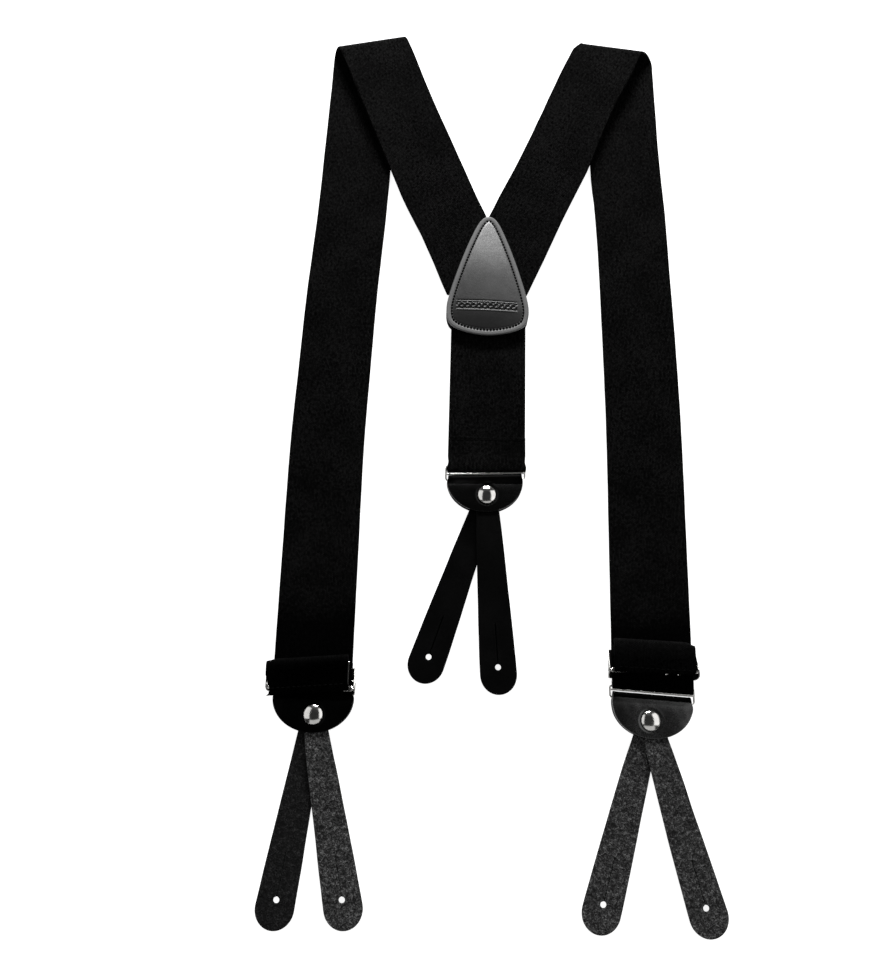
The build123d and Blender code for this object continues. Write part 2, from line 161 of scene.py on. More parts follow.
def columns(width, n=24):
    e = np.array([0, 0.07, 0.22, 0.5, 0.9, 1.5, 2.2, 3.0])
    inner = np.linspace(-width / 2 + 4.4, width / 2 - 4.4, n)
    return np.concatenate([-width / 2 + e, inner, width / 2 - e[::-1]])


def half_thickness(t, width, thick=WEB_T):
    e = width / 2 - np.abs(t)
    r = thick / 2
    h = r * np.sqrt(np.clip(1 - (1 - np.clip(e / (r * 1.15), 0, 1)) ** 2, 0, 1))
    h = h * (1 + 0.05 * bump(e, 1.5, 0.8) - 0.12 * bump(e, 3.1, 0.45))
    h[e < 1e-6] = 0
    return h


def band(name, P, S, T, H, material):
    """A closed strip: P mid-surface points (rows, columns, 3), S and T length and width coordinates, H half thickness (0 at both edges)."""
    ns, nt = P.shape[:2]
    ds = np.gradient(P, axis=0)
    dt = np.gradient(P, axis=1)
    N = np.cross(dt, ds)
    N /= np.maximum(np.linalg.norm(N, axis=2, keepdims=True), 1e-9)
    # the normals of the edge columns copy their neighbours, so that the selvedge stays round
    N[:, 0], N[:, -1] = N[:, 2], N[:, -3]
    H = np.broadcast_to(H, (ns, nt))
    top = P + N * H[..., None]
    bot = P - N * H[..., None]
    ring = 2 * nt - 2
    verts = np.concatenate([top, bot[:, -2:0:-1]], axis=1).reshape(-1, 3)
    uv_s = np.concatenate([S, S[:, -2:0:-1]], axis=1)
    uv_t = np.concatenate([T, T[:, -2:0:-1]], axis=1)
    uvs = np.stack([uv_s.ravel(), uv_t.ravel()], 1)
    faces = []
    for i in range(ns - 1):
        a, b = i * ring, (i + 1) * ring
        for j in range(ring):
            k = (j + 1) % ring
            faces.append((a + j, a + k, b + k, b + j))
    for a in (0, (ns - 1) * ring):
        cap = []
        for j in range(nt - 1):
            lo0 = a + (ring - j) % ring if j else a
            lo1 = a + (ring - j - 1) if j < nt - 2 else a + nt - 1
            quad = [a + j, a + j + 1, lo1, lo0]
            quad = list(dict.fromkeys(quad))
            if len(quad) >= 3:
                cap.append(tuple(quad))
        faces += cap
    return new_object(name, verts, faces, uvs, material=material)


# ------------------------------------------------------------------ flat sheets with holes, mapped to space
def seg_distance(pts, loop):
    """Distance from points to a closed polyline."""
    a = loop
    b = np.roll(loop, -1, axis=0)
    out = np.full(len(pts), 1e9)
    ab = b - a
    L = np.maximum((ab ** 2).sum(1), 1e-12)
    for i0 in range(0, len(pts), 4000):
        p = pts[i0:i0 + 4000]
        ap = p[:, None, :] - a[None]
        t = np.clip((ap * ab[None]).sum(2) / L[None], 0, 1)
        d = np.linalg.norm(ap - t[..., None] * ab[None], axis=2).min(1)
        out[i0:i0 + 4000] = d
    return out


def inside(pts, loop):
    x, y = pts[:, 0], pts[:, 1]
    c = np.zeros(len(pts), bool)
    n = len(loop)
    for i in range(n):
        x0, y0 = loop[i]
        x1, y1 = loop[(i + 1) % n]
        if y0 == y1:
            continue
        hit = ((y0 > y) != (y1 > y)) & (x < (x1 - x0) * (y - y0) / (y1 - y0) + x0)
        c ^= hit
    return c


def offset_loop(loop, d):
    """Points a distance d to the left of a closed loop."""
    t = np.roll(loop, -1, axis=0) - np.roll(loop, 1, axis=0)
    t /= np.maximum(np.linalg.norm(t, axis=1, keepdims=True), 1e-9)
    return loop + np.stack([-t[:, 1], t[:, 0]], 1) * d


def area_of(loop):
    x, y = loop[:, 0], loop[:, 1]
    return 0.5 * float(np.sum(x * np.roll(y, -1) - np.roll(x, -1) * y))


def flat_mesh(outer, holes, step, rings=(0.12, 0.35, 0.7, 1.2), extra=None, jitter=0.18, seed=1):
    """Triangles that fill an outline, with rings of points that follow every edge. Returns points, triangles, loops and edge distance."""
    loops = [outer if area_of(outer) > 0 else outer[::-1]]
    loops += [h if area_of(h) < 0 else h[::-1] for h in holes]
    pts = []
    for lp in loops:
        for d in rings:
            pts.append(offset_loop(lp, d))
    lo, hi = outer.min(0), outer.max(0)
    gx, gy = np.meshgrid(np.arange(lo[0], hi[0] + step, step), np.arange(lo[1], hi[1] + step, step * 0.866))
    gx = gx + (np.arange(gy.shape[0]) % 2)[:, None] * step / 2
    rng = np.random.RandomState(seed)
    g = np.stack([gx.ravel(), gy.ravel()], 1) + rng.uniform(-jitter, jitter, (gx.size, 2)) * step * 0.4
    pts.append(g)
    pts = np.vstack(pts)
    keep = inside(pts, loops[0])
    for h in loops[1:]:
        keep &= ~inside(pts, h)
    pts = pts[keep]
    dist = np.min([seg_distance(pts, lp) for lp in loops], axis=0)
    ring_count = sum(len(lp) * len(rings) for lp in loops)
    flags = np.zeros(len(keep), bool)
    flags[:ring_count] = True
    is_ring = flags[keep]
    ok = np.where(is_ring, dist > min(rings) * 0.8, dist > max(rings) + step * 0.45)
    pts = pts[ok]
    if extra is not None and len(extra):
        e = np.asarray(extra, float)
        k = inside(e, loops[0])
        for h in loops[1:]:
            k &= ~inside(e, h)
        e = e[k]
        if len(e):
            de = np.min([seg_distance(e, lp) for lp in loops], axis=0)
            pts = np.vstack([pts, e[de > max(rings) + 0.1]])
    allp = [p for lp in loops for p in lp]
    edges, loop_idx, k = [], [], 0
    for lp in loops:
        n = len(lp)
        loop_idx.append(list(range(k, k + n)))
        edges += [(k + i, k + (i + 1) % n) for i in range(n)]
        k += n
    allp = np.vstack([np.array(allp), pts])
    v, e, f, ov, oe, of_ = delaunay_2d_cdt([Vector((float(a), float(b))) for a, b in allp], edges, [], 0, 1e-5)
    v = np.array([(p.x, p.y) for p in v])
    back_map = {}
    for i, o in enumerate(ov):
        for j in o:
            back_map[j] = i
    tri = np.array([t for t in f if len(t) == 3])
    c = v[tri].mean(1)
    k = inside(c, loops[0])
    for h in loops[1:]:
        k &= ~inside(c, h)
    tri = tri[k]
    loop_idx = [[back_map[i] for i in lp] for lp in loop_idx]
    dist = np.min([seg_distance(v, lp) for lp in loops], axis=0)
    for lp in loop_idx:
        dist[lp] = 0
    used = np.zeros(len(v), bool)
    used[tri.ravel()] = True
    remap = -np.ones(len(v), int)
    remap[used] = np.arange(used.sum())
    loop_idx = [[int(remap[i]) for i in lp if remap[i] >= 0] for lp in loop_idx]
    return v[used], remap[tri], loop_idx, dist[used]


def sheet_piece(name, mesh2d, mapping, thick, material, top_extra=None, edge_r=0.45, wall=0.45, bot_extra=None):
    """A closed sheet of leather or metal: mapping(points) gives mid-surface points and unit normals; top_extra adds to the top face."""
    v, tri, loops, d = mesh2d
    P, N = mapping(v)
    h = thick / 2
    e = np.clip(d / edge_r, 0, 1)
    prof = h * (wall + (1 - wall) * np.sqrt(1 - (1 - e) ** 2))
    te = top_extra(v, d) if top_extra else 0.0
    be = bot_extra(v, d) if bot_extra else 0.0
    top = P + N * (prof + te)[..., None] if np.ndim(te) or te else P + N * prof[..., None]
    bot = P - N * (prof + be)[..., None] if np.ndim(be) or be else P - N * prof[..., None]
    n = len(v)
    verts = np.vstack([top, bot])
    faces = [tuple(int(i) for i in t) for t in tri] + [tuple(int(i) + n for i in t[::-1]) for t in tri]
    for lp in loops:
        m_ = len(lp)
        for i in range(m_):
            a, b = lp[i], lp[(i + 1) % m_]
            faces.append((b, a, a + n, b + n))
    uvs = np.vstack([v, v])
    return new_object(name, verts, faces, uvs, material=material, sharp=52)


def tube_mesh(path, radius, closed=False, sides=12, taper=None, up=(0, 0, 1)):
    """Vertices and faces of a round tube along a path. taper: radius factor per point."""
    p = np.asarray(path, float)
    n = len(p)
    if closed:
        tan = np.roll(p, -1, 0) - np.roll(p, 1, 0)
    else:
        tan = np.gradient(p, axis=0)
    tan /= np.maximum(np.linalg.norm(tan, axis=1, keepdims=True), 1e-9)
    upv = np.array(up, float)
    verts, faces = [], []
    for i in range(n):
        a = np.cross(upv, tan[i])
        if np.linalg.norm(a) < 1e-6:
            a = np.cross(np.array([1.0, 0, 0]), tan[i])
        a /= np.linalg.norm(a)
        b = np.cross(tan[i], a)
        r = radius * (1 if taper is None else taper[i])
        for k in range(sides):
            w = 2 * math.pi * k / sides
            verts.append(p[i] + r * (math.cos(w) * a + math.sin(w) * b))
    rows = n if closed else n - 1
    for i in range(rows):
        j = (i + 1) % n
        for k in range(sides):
            l_ = (k + 1) % sides
            faces.append((i * sides + k, i * sides + l_, j * sides + l_, j * sides + k))
    if not closed:
        faces.append(tuple(range(sides)))
        faces.append(tuple((n - 1) * sides + k for k in range(sides))[::-1])
    return np.array(verts), faces


def merge(parts):
    verts, faces, k = [], [], 0
    for v, f in parts:
        verts.append(v)
        faces += [tuple(i + k for i in face) for face in f]
        k += len(v)
    return np.vstack(verts), faces


def lathe(profile, cx, cy, seg=64):
    """Closed solid of revolution from (radius, z) points that start and end on the axis."""
    verts, faces = [], []
    n = len(profile)
    idx = []
    for r, z in profile:
        if r < 1e-6:
            idx.append([len(verts)])
            verts.append((cx, cy, z))
        else:
            idx.append(list(range(len(verts), len(verts) + seg)))
            for k in range(seg):
                a = 2 * math.pi * k / seg
                verts.append((cx + r * math.cos(a), cy + r * math.sin(a), z))
    for i in range(n - 1):
        a, b = idx[i], idx[i + 1]
        for k in range(seg):
            l_ = (k + 1) % seg
            if len(a) == 1 and len(b) == 1:
                continue
            if len(a) == 1:
                faces.append((a[0], b[k], b[l_]))
            elif len(b) == 1:
                faces.append((a[k], b[0], a[l_]))
            else:
                faces.append((a[k], b[k], b[l_], a[l_]))
    return np.array(verts), faces


# ------------------------------------------------------------------ materials
class Net:
    """A few shorthands for building node trees."""

    def __init__(self, name):
        self.mat = bpy.data.materials.new(name)
        self.mat.use_nodes = True
        self.t = self.mat.node_tree
        self.b = self.t.nodes["Principled BSDF"]

    def n(self, kind, **kw):
        node = self.t.nodes.new(kind)
        for k, v in kw.items():
            setattr(node, k, v)
        return node

    def put(self, socket, value):
        if hasattr(value, "is_output") or isinstance(value, bpy.types.NodeSocket):
            self.t.links.new(value, socket)
        else:
            socket.default_value = value
        return socket

    def math(self, op, a, b=0.0, c=None, clamp=False):
        node = self.n("ShaderNodeMath", operation=op, use_clamp=clamp)
        self.put(node.inputs[0], a)
        self.put(node.inputs[1], b)
        if c is not None:
            self.put(node.inputs[2], c)
        return node.outputs[0]

    def uv(self):
        node = self.n("ShaderNodeTexCoord")
        sep = self.n("ShaderNodeSeparateXYZ")
        self.t.links.new(node.outputs["UV"], sep.inputs[0])
        return node.outputs["UV"], sep.outputs[0], sep.outputs[1]

    def obj(self):
        return self.n("ShaderNodeTexCoord").outputs["Object"]

    def scaled(self, vec, sx, sy, sz):
        node = self.n("ShaderNodeVectorMath", operation="MULTIPLY")
        self.put(node.inputs[0], vec)
        node.inputs[1].default_value = (sx, sy, sz)
        return node.outputs[0]

    def noise(self, vec, scale, detail=3.0, rough=0.55, distortion=0.0):
        node = self.n("ShaderNodeTexNoise")
        self.put(node.inputs["Vector"], vec)
        node.inputs["Scale"].default_value = scale
        node.inputs["Detail"].default_value = detail
        node.inputs["Roughness"].default_value = rough
        node.inputs["Distortion"].default_value = distortion
        return node.outputs[0]

    def voronoi(self, vec, scale, feature="F1", out="Distance", rand=1.0):
        node = self.n("ShaderNodeTexVoronoi", feature=feature)
        self.put(node.inputs["Vector"], vec)
        node.inputs["Scale"].default_value = scale
        node.inputs["Randomness"].default_value = rand
        return node.outputs[out]

    def ramp(self, value, stops):
        node = self.n("ShaderNodeValToRGB")
        self.put(node.inputs[0], value)
        el = node.color_ramp.elements
        while len(el) < len(stops):
            el.new(0.5)
        for e, (pos, c) in zip(el, stops):
            e.position = pos
            e.color = (c, c, c, 1) if np.isscalar(c) else (*c, 1)
        return node.outputs[0]

    def mix(self, fac, a, b):
        node = self.n("ShaderNodeMix", data_type="RGBA")
        self.put(node.inputs[0], fac)
        for sock, v in ((node.inputs[6], a), (node.inputs[7], b)):
            if isinstance(v, bpy.types.NodeSocket):
                self.t.links.new(v, sock)
            else:
                sock.default_value = (v, v, v, 1) if np.isscalar(v) else (*v, 1)
        return node.outputs[2]

    def bumps(self, height, dist, strength=1.0, normal=None):
        node = self.n("ShaderNodeBump")
        node.inputs["Strength"].default_value = strength
        node.inputs["Distance"].default_value = dist
        self.put(node.inputs["Height"], height)
        if normal is not None:
            self.t.links.new(normal, node.inputs["Normal"])
        return node.outputs[0]

    def done(self, color, rough, normal=None, metallic=0.0, spec=0.5, sheen=0.0, coat=0.0, coat_rough=0.2):
        b = self.b
        for sock, v in (("Base Color", color), ("Roughness", rough)):
            if isinstance(v, bpy.types.NodeSocket):
                self.t.links.new(v, b.inputs[sock])
            elif sock == "Base Color":
                b.inputs[sock].default_value = (v, v, v, 1) if np.isscalar(v) else (*v, 1)
            else:
                b.inputs[sock].default_value = v
        b.inputs["Metallic"].default_value = metallic
        self.put(b.inputs["Specular IOR Level"], spec)
        self.put(b.inputs["Sheen Weight"], sheen)
        b.inputs["Sheen Roughness"].default_value = 0.45
        b.inputs["Coat Weight"].default_value = coat
        b.inputs["Coat Roughness"].default_value = coat_rough
        if normal is not None:
            self.t.links.new(normal, b.inputs["Normal"])
        return self.mat


def webbing_material(name="webbing_black", gain=1.0, painted_light_stops=((-0.131, 0.28), (-0.113, 1.0)), slope=0.0, mid_x=0.0):
    """Tight black webbing: lengthwise cords crossed by fine weft, with a little fluff, darkened and brightened along
    its length by painted shade and painted highlight.
    """
    k = Net(name)
    vec, u, v = k.uv()
    cord = k.math("MULTIPLY", v, 1000 / 0.95)
    cell = k.math("FLOOR", cord)
    across = k.math("SINE", k.math("MULTIPLY", cord, math.pi))
    across = k.math("ABSOLUTE", across)
    shift = k.math("MULTIPLY", k.math("MODULO", cell, 2.0), math.pi / 2)
    along = k.math("ABSOLUTE", k.math("SINE", k.math("ADD", k.math("MULTIPLY", u, 1000 * math.pi / 1.25), shift)))
    weave = k.math("MULTIPLY", k.math("POWER", across, 0.6), k.math("MULTIPLY_ADD", along, 0.65, 0.35))
    fuzz = k.noise(k.scaled(vec, 1.0, 1.6, 1.0), 2600.0, 4.0, 0.7)
    patch = k.noise(vec, 38.0, 3.0, 0.5)
    fine = k.noise(vec, 420.0, 3.0, 0.6)
    height = k.math("ADD", k.math("MULTIPLY", weave, 0.75), k.math("MULTIPLY", fuzz, 0.5))
    tone = k.math("MULTIPLY", weave, k.math("MULTIPLY_ADD", fuzz, 1.3, 0.1))
    tone = k.math("MULTIPLY", tone, k.math("MULTIPLY_ADD", patch, 1.5, 0.25))
    tone = k.math("MULTIPLY", tone, k.math("MULTIPLY_ADD", fine, 1.2, 0.4))
    # millimetre-sized flecks where the pile catches
    speck = k.noise(k.scaled(vec, 1.0, 1.3, 1.0), 560.0, 2.0, 0.6, 0.6)
    speck = k.math("MULTIPLY_ADD", speck, 2.4, -0.68, clamp=True)
    tone = k.math("MULTIPLY", tone, k.math("MULTIPLY_ADD", speck, 1.7, 0.35))
    # painted shade and painted highlight along the length: the cloth is darkened where it turns over hardware near the
    # adjusters and brightened on the wrapped ends' top rolls
    sep = k.n("ShaderNodeSeparateXYZ")
    k.put(sep.inputs[0], k.obj())
    along_y = k.math("ADD", sep.outputs[1], k.math("MULTIPLY_ADD", sep.outputs[0], -slope, slope * mid_x))
    lo, hi = painted_light_stops[0][0], painted_light_stops[-1][0]
    where = k.math("MULTIPLY_ADD", along_y, 1.0 / (hi - lo), -lo / (hi - lo))
    top_f = max(f for _, f in painted_light_stops)
    shade = k.math("MULTIPLY", k.ramp(where, [((y - lo) / (hi - lo), f / top_f) for y, f in painted_light_stops]), top_f)
    tone = k.math("MULTIPLY", tone, k.math("MULTIPLY_ADD", shade, 0.8, 0.2))
    # the flecks' gloss and sheen follow the same painted shade and painted highlight
    speck = k.math("MULTIPLY", speck, shade)
    col = k.ramp(tone, [(0.0, 0.0001 * gain), (0.3, 0.0005 * gain), (0.62, 0.0016 * gain), (1.0, 0.007 * gain)])
    lint = k.math("GREATER_THAN", k.noise(k.scaled(vec, 1.0, 0.35, 1.0), 900.0, 2.0, 0.5, 2.5), 0.735)
    col = k.mix(k.math("MULTIPLY", lint, 0.5), col, 0.012 * gain)
    rough = k.math("MULTIPLY_ADD", fuzz, 0.25, 0.62)
    nrm = k.bumps(height, 0.0004, 0.85)
    shine = k.math("MULTIPLY_ADD", speck, 0.026 * gain, 0.003 * gain)
    return k.done(col, rough, nrm, spec=shine, sheen=k.math("MULTIPLY_ADD", speck, 0.0042 * gain, 0.0006 * gain))


def suede_material(name, low, high):
    """Rough flesh side of leather: short matted fibres that curl over a darker nap."""
    k = Net(name)
    vec, u, v = k.uv()

    def strands(scale, offset, width, cut):
        shifted = k.n("ShaderNodeVectorMath", operation="ADD")
        k.put(shifted.inputs[0], vec)
        shifted.inputs[1].default_value = (offset, offset * 0.7, 0.0)
        n1 = k.noise(shifted.outputs[0], scale, 1.6, 0.5, 1.1)
        line = k.math("ABSOLUTE", k.math("SUBTRACT", n1, 0.5))
        line = k.math("SUBTRACT", 1.0, k.math("MULTIPLY", line, width), clamp=True)
        mask = k.noise(shifted.outputs[0], scale * 0.8, 3.0, 0.6, 0.4)
        mask = k.math("MULTIPLY_ADD", mask, 7.0, -7.0 * cut, clamp=True)
        return k.math("MULTIPLY", line, mask)

    a = strands(430.0, 0.0, 12.0, 0.40)
    b = strands(560.0, 0.31, 11.0, 0.42)
    c = strands(340.0, 0.77, 16.0, 0.41)
    fuzz = k.noise(vec, 1500.0, 3.0, 0.7, 0.8)
    big = k.noise(vec, 70.0, 3.0, 0.6)
    nap = k.noise(vec, 520.0, 3.0, 0.7, 0.5)
    fib = k.math("ADD", k.math("MULTIPLY", a, 0.55), k.math("ADD", k.math("MULTIPLY", b, 0.4), k.math("MULTIPLY", c, 0.5)))
    fib = k.math("MULTIPLY", fib, k.math("MULTIPLY_ADD", fuzz, 1.1, 0.45))
    tone = k.math("ADD", k.math("MULTIPLY", fib, 0.8), k.math("MULTIPLY_ADD", nap, 0.75, -0.22))
    tone = k.math("MULTIPLY", tone, k.math("MULTIPLY_ADD", big, 0.9, 0.55), clamp=True)
    mid = low + (high - low) * 0.26
    col = k.ramp(tone, [(0.0, low * 0.3), (0.16, low), (0.42, mid), (0.8, high), (1.0, high * 1.6)])
    height = k.math("ADD", k.math("MULTIPLY", fib, 1.0), k.math("ADD", k.math("MULTIPLY", nap, 0.5), k.math("MULTIPLY", fuzz, 0.25)))
    nrm = k.bumps(height, 0.0006, 0.9)
    return k.done(col, 0.92, nrm, spec=0.10, sheen=0.02)


def leather_material(name, base, rough, spec, grain=0.35, coat=0.0, scale=1.0, tone_var=0.5, sheen=0.0, scuff=0.35):
    """Smooth coated leather: fine pebble grain, creases, soft wear in the gloss."""
    k = Net(name)
    vec = k.obj()
    cells = k.voronoi(vec, 1250.0 * scale, "DISTANCE_TO_EDGE")
    cells = k.math("POWER", k.math("MULTIPLY", cells, 6.0, clamp=True), 0.5)
    fine = k.noise(vec, 2600.0 * scale, 3.0, 0.6)
    crease = k.noise(k.scaled(vec, 1.0, 2.6, 1.0), 210.0, 4.0, 0.6, 1.2)
    big = k.noise(vec, 45.0, 3.0, 0.5)
    col = k.ramp(big, [(0.25, base * (1 - tone_var)), (0.55, base), (0.85, base * (1 + tone_var))])
    col = k.mix(k.math("MULTIPLY", k.math("SUBTRACT", 1.0, cells), 0.35), col, base * 0.4)
    r = k.math("MULTIPLY_ADD", big, scuff * 0.5, rough - scuff * 0.25)
    r = k.math("ADD", r, k.math("MULTIPLY", k.math("SUBTRACT", crease, 0.5), scuff * 0.5))
    height = k.math("ADD", k.math("MULTIPLY", cells, 0.5), k.math("ADD", k.math("MULTIPLY", fine, 0.3), k.math("MULTIPLY", crease, 0.6)))
    nrm = k.bumps(height, 0.00022, grain)
    return k.done(col, r, nrm, spec=spec, coat=coat, coat_rough=rough * 0.8, sheen=sheen)


def yoke_material(name, base, rough, spec, deep):
    """Smooth leather whose gloss carries a painted gradient: painted shade below the stamped band, painted highlight
    further up and to one side, with random mottling.
    """
    mat = leather_material(name, base, rough, spec, grain=0.18, tone_var=0.25, scuff=0.14)
    k = Net.__new__(Net)
    k.mat, k.t = mat, mat.node_tree
    k.b = next(n for n in k.t.nodes if n.type == "BSDF_PRINCIPLED")
    sep = k.n("ShaderNodeSeparateXYZ")
    k.put(sep.inputs[0], k.obj())
    # painted highlight and painted shade in the gloss: darker below the stamped band, brighter higher up and towards +x
    up = k.math("MULTIPLY_ADD", sep.outputs[1], 10.0, -0.7)
    tone = k.ramp(up, [(0.0, 0.13), (0.17, 0.16), (0.21, 0.26), (0.26, deep), (0.45, deep * 1.2), (0.7, 0.9), (0.9, 1.0)])
    painted_side_light = k.math("MULTIPLY_ADD", sep.outputs[0], 10.0, 1.0 + 10.0 * 0.0069)
    mottle = k.math("MULTIPLY_ADD", k.noise(k.obj(), 160.0, 3.0, 0.6), 0.5, 0.75)
    f = k.math("MULTIPLY", k.math("MULTIPLY", tone, painted_side_light), mottle)
    k.put(k.b.inputs["Specular IOR Level"], k.math("MULTIPLY", f, spec))
    return mat


def metal_material(name, base=0.72, rough=0.2, tint=(1.0, 0.985, 0.955)):
    """Bright nickel with fine scratches and slight dulling."""
    k = Net(name)
    vec = k.obj()
    scr = k.noise(k.scaled(vec, 1.0, 9.0, 1.0), 900.0, 3.0, 0.6)
    dull = k.noise(vec, 240.0, 3.0, 0.6)
    col = k.ramp(dull, [(0.2, tuple(base * 0.78 * c for c in tint)), (0.7, tuple(base * c for c in tint))])
    r = k.math("MULTIPLY_ADD", dull, 0.14, rough - 0.07)
    r = k.math("ADD", r, k.math("MULTIPLY", scr, 0.05))
    nrm = k.bumps(k.math("ADD", scr, k.math("MULTIPLY", dull, 0.8)), 0.00004, 0.35)
    return k.done(col, r, nrm, metallic=1.0)


def thread_material(name="thread_black", gain=1.0):
    """Waxed black thread, two plies twisted."""
    k = Net(name)
    vec = k.obj()
    twist = k.n("ShaderNodeTexWave", wave_type="BANDS", bands_direction="DIAGONAL")
    k.put(twist.inputs["Vector"], vec)
    twist.inputs["Scale"].default_value = 700.0
    twist.inputs["Distortion"].default_value = 0.6
    fuzz = k.noise(vec, 3200.0, 3.0, 0.6)
    col = k.mix(twist.outputs["Fac"], 0.0003 * gain, 0.0016 * gain)
    h = k.math("ADD", twist.outputs["Fac"], k.math("MULTIPLY", fuzz, 0.4))
    return k.done(col, 0.7, k.bumps(h, 0.0001, 0.7), spec=0.04)


M_WEB = webbing_material()
# painted shade and painted highlight: darker copies of the same webbing for the wrapped ends and return bands, with a
# painted highlight on each flap's top roll and painted shade below it
M_WEB_LEFT_END_PAINTED_LIGHT = webbing_material("webbing_black_left_end_painted_light", 0.13, ((-0.1600, 0.8), (-0.1565, 1.6), (-0.1540, 9.0), (-0.1515, 11.0)), 0.089, -0.114)
M_WEB_RIGHT_END_PAINTED_LIGHT = webbing_material("webbing_black_right_end_painted_light", 0.26, ((-0.1560, 0.9), (-0.1480, 1.5), (-0.1400, 7.0), (-0.1360, 9.0)), -0.033, 0.1007)
M_SUEDE = suede_material("tab_leather_rough", 0.009, 0.145)
M_SUEDE_MID = suede_material("tab_leather_rough_mid", 0.009, 0.13)
# painted shade: a darker copy of the same suede for the left lower tab, which lies in the upper tab's shade
M_SUEDE_SHADED = suede_material("tab_leather_rough_painted_shade", 0.003, 0.024)
M_SMOOTH = leather_material("tab_leather_smooth", 0.0009, 0.42, 0.055, grain=0.3, tone_var=0.4)
# lit and shaded copies of one end leather: same colour, gloss set per end, a glossy copy standing in for light on the
# right end, a near-matt copy standing in for shade on the left end, the back end in between
M_END = leather_material("end_leather", 0.0006, 0.27, 0.85, grain=0.2, tone_var=0.4, scuff=0.12)
# painted shade: a near-black, almost unglossy copy of the end leather for the band just past the fold
M_END_FOLD_SHADE = leather_material("end_leather_fold_painted_shade", 0.0003, 0.3, 0.006, grain=0.2, tone_var=0.4, scuff=0.1)
M_END_SHADED_COPY = leather_material("end_leather_shaded_copy", 0.0005, 0.26, 0.035, grain=0.2, tone_var=0.4, scuff=0.1)
M_END_BACK = leather_material("end_leather_back", 0.0005, 0.27, 0.2, grain=0.2, tone_var=0.4, scuff=0.12)
M_YOKE = yoke_material("yoke_leather", 0.008, 0.42, 1.6, 0.33)
M_YOKE_RIM = leather_material("yoke_edge_leather", 0.085, 0.48, 0.5, grain=0.2, tone_var=0.12, scuff=0.2)
M_YOKE_STAMP = leather_material("yoke_stamped_leather", 0.002, 0.36, 0.24, grain=0.3, tone_var=0.3, scuff=0.2)
M_NICKEL = metal_material("nickel", 0.78, 0.11)
M_WIRE = metal_material("nickel_wire", 0.62, 0.26)
M_ADJ = metal_material("adjuster_nickel", 0.24, 0.3)
M_THREAD = thread_material()


# ------------------------------------------------------------------ where things are
BAR_Z = 3.25
TOP_BAR = 8.6
MID_BAR = 4.9
LINK_HALF = 26.45
WIRE_R = 0.64

SIDES = {
    "left": dict(
        cx=-114.0, by=-175.4, flap_y=-152.6, adj_dx=-0.1, flap_dx=-2.85, sets=(0.7, 1.8, 2.6), lean=0.0, push=1.5, flap_turn=5.1,
        line=[(-114, -170), (-114, -90), (-114, -29), (-113.7, -2), (-112.6, 33), (-111.4, 69), (-109.9, 106), (-107.6, 144), (-105.6, 183), (-104.2, 224), (-102.8, 266), (-102.2, 297)],
        crease=(-99.7, 303.0), v_dir=(0.3987, -0.9171), v_normal=(0.9171, 0.3987), v_off=31.8, v_z=3.0, roll=5.4, cone=0.0,
        tabs=(-8.4, 12.4, 108.6), leather=23.3, rivet=12.4, seed=3.0,
        lift=(-124.0, 1.1, 2.0), corner=None,
        front_l=[(-300, 0), (310, 0)], front_r=[(-300, 0), (310, 0)],
        run_l=[(111, 1.5), (127, 2.0), (149, 2.0), (159, 1.2), (169, 0.4), (179, 0.05), (199, 0.3), (229, 0.6), (260, 1.1), (282, 1.45), (303, 1.3)],
        run_r=[(111, 1.6), (149, 1.6), (169, 1.6), (179, 1.1), (219, 1.2), (239, 1.05), (250, 0.8), (260, 0.8), (271, 1.15), (282, 1.4), (303, 1.45)]),
    "right": dict(
        cx=100.7, by=-173.5, flap_y=-136.3, adj_dx=0.0, flap_dx=1.15, sets=(-0.4, -0.7, -2.5), lean=-3.2, push=1.6, flap_turn=-1.9,
        line=[(100.7, -170), (100.7, -90), (100.7, -29), (100.5, 5), (100.0, 39), (99.2, 75), (98.1, 112), (96.8, 151), (94.9, 191), (93.1, 221), (92.0, 252), (91.0, 284), (90.2, 299)],
        crease=(84.5, 303.2), v_dir=(-0.397, -0.918), v_normal=(-0.918, 0.397), v_off=46.8, v_z=4.6, roll=5.4, cone=0.0,
        tabs=(-15.9, 15.8, 111.2), leather=23.3, rivet=12.4, seed=8.0,
        lift=(60.0, 0.5, 3.7), corner=(57.0, 311.0, 2.4),
        front_l=[(-300, -0.15), (150, -0.1), (171, -0.2), (181, -0.3), (190, -0.9), (200, -1.0), (230, -0.5), (300, 0)],
        front_r=[(-300, 1.2), (30, 1.27), (88, 1.1), (119, 0.8), (138, 0.87), (177, 1.25), (197, 0.9), (250, 1.1), (270, 1.2), (292, 1.5), (303, 1.9)],
        run_l=[(120, 0), (160, 0), (172, 0.2), (182, 0.2), (192, 0.75), (202, 1.2), (212, 1.35), (232, 1.4), (242, 1.0), (253, 1.0), (263, 0.55), (285, 0.15), (306, 0.5)],
        run_r=[(130, 0), (142, -0.15), (162, -0.55), (172, -0.4), (182, -0.05), (192, 0.25), (202, 0.55), (214, 0), (237, -1.8), (263, -2.4), (285, -0.65), (300, 0)]),
}
BACK = dict(cx=-6.4, by=-32.3, sets=(-0.2, -0.5, 0.9), lean=2.8, push=1.1, bar_shift=-0.9, tabs=(-18.4, 4.5, 112.2), leather=23.0, rivet=11.4, seed=13.0)
YOKE_X = -6.9
YOKE_HALF = [(0, 163.3), (4.2, 161.6), (8.2, 156), (13.6, 143.5), (19.2, 128), (24.2, 112), (27.6, 99), (28.9, 91), (28.4, 83.5), (25.6, 77.9), (19.0, 74), (9.5, 71.5), (0, 70.6)]
YOKE_CUT = 102.0


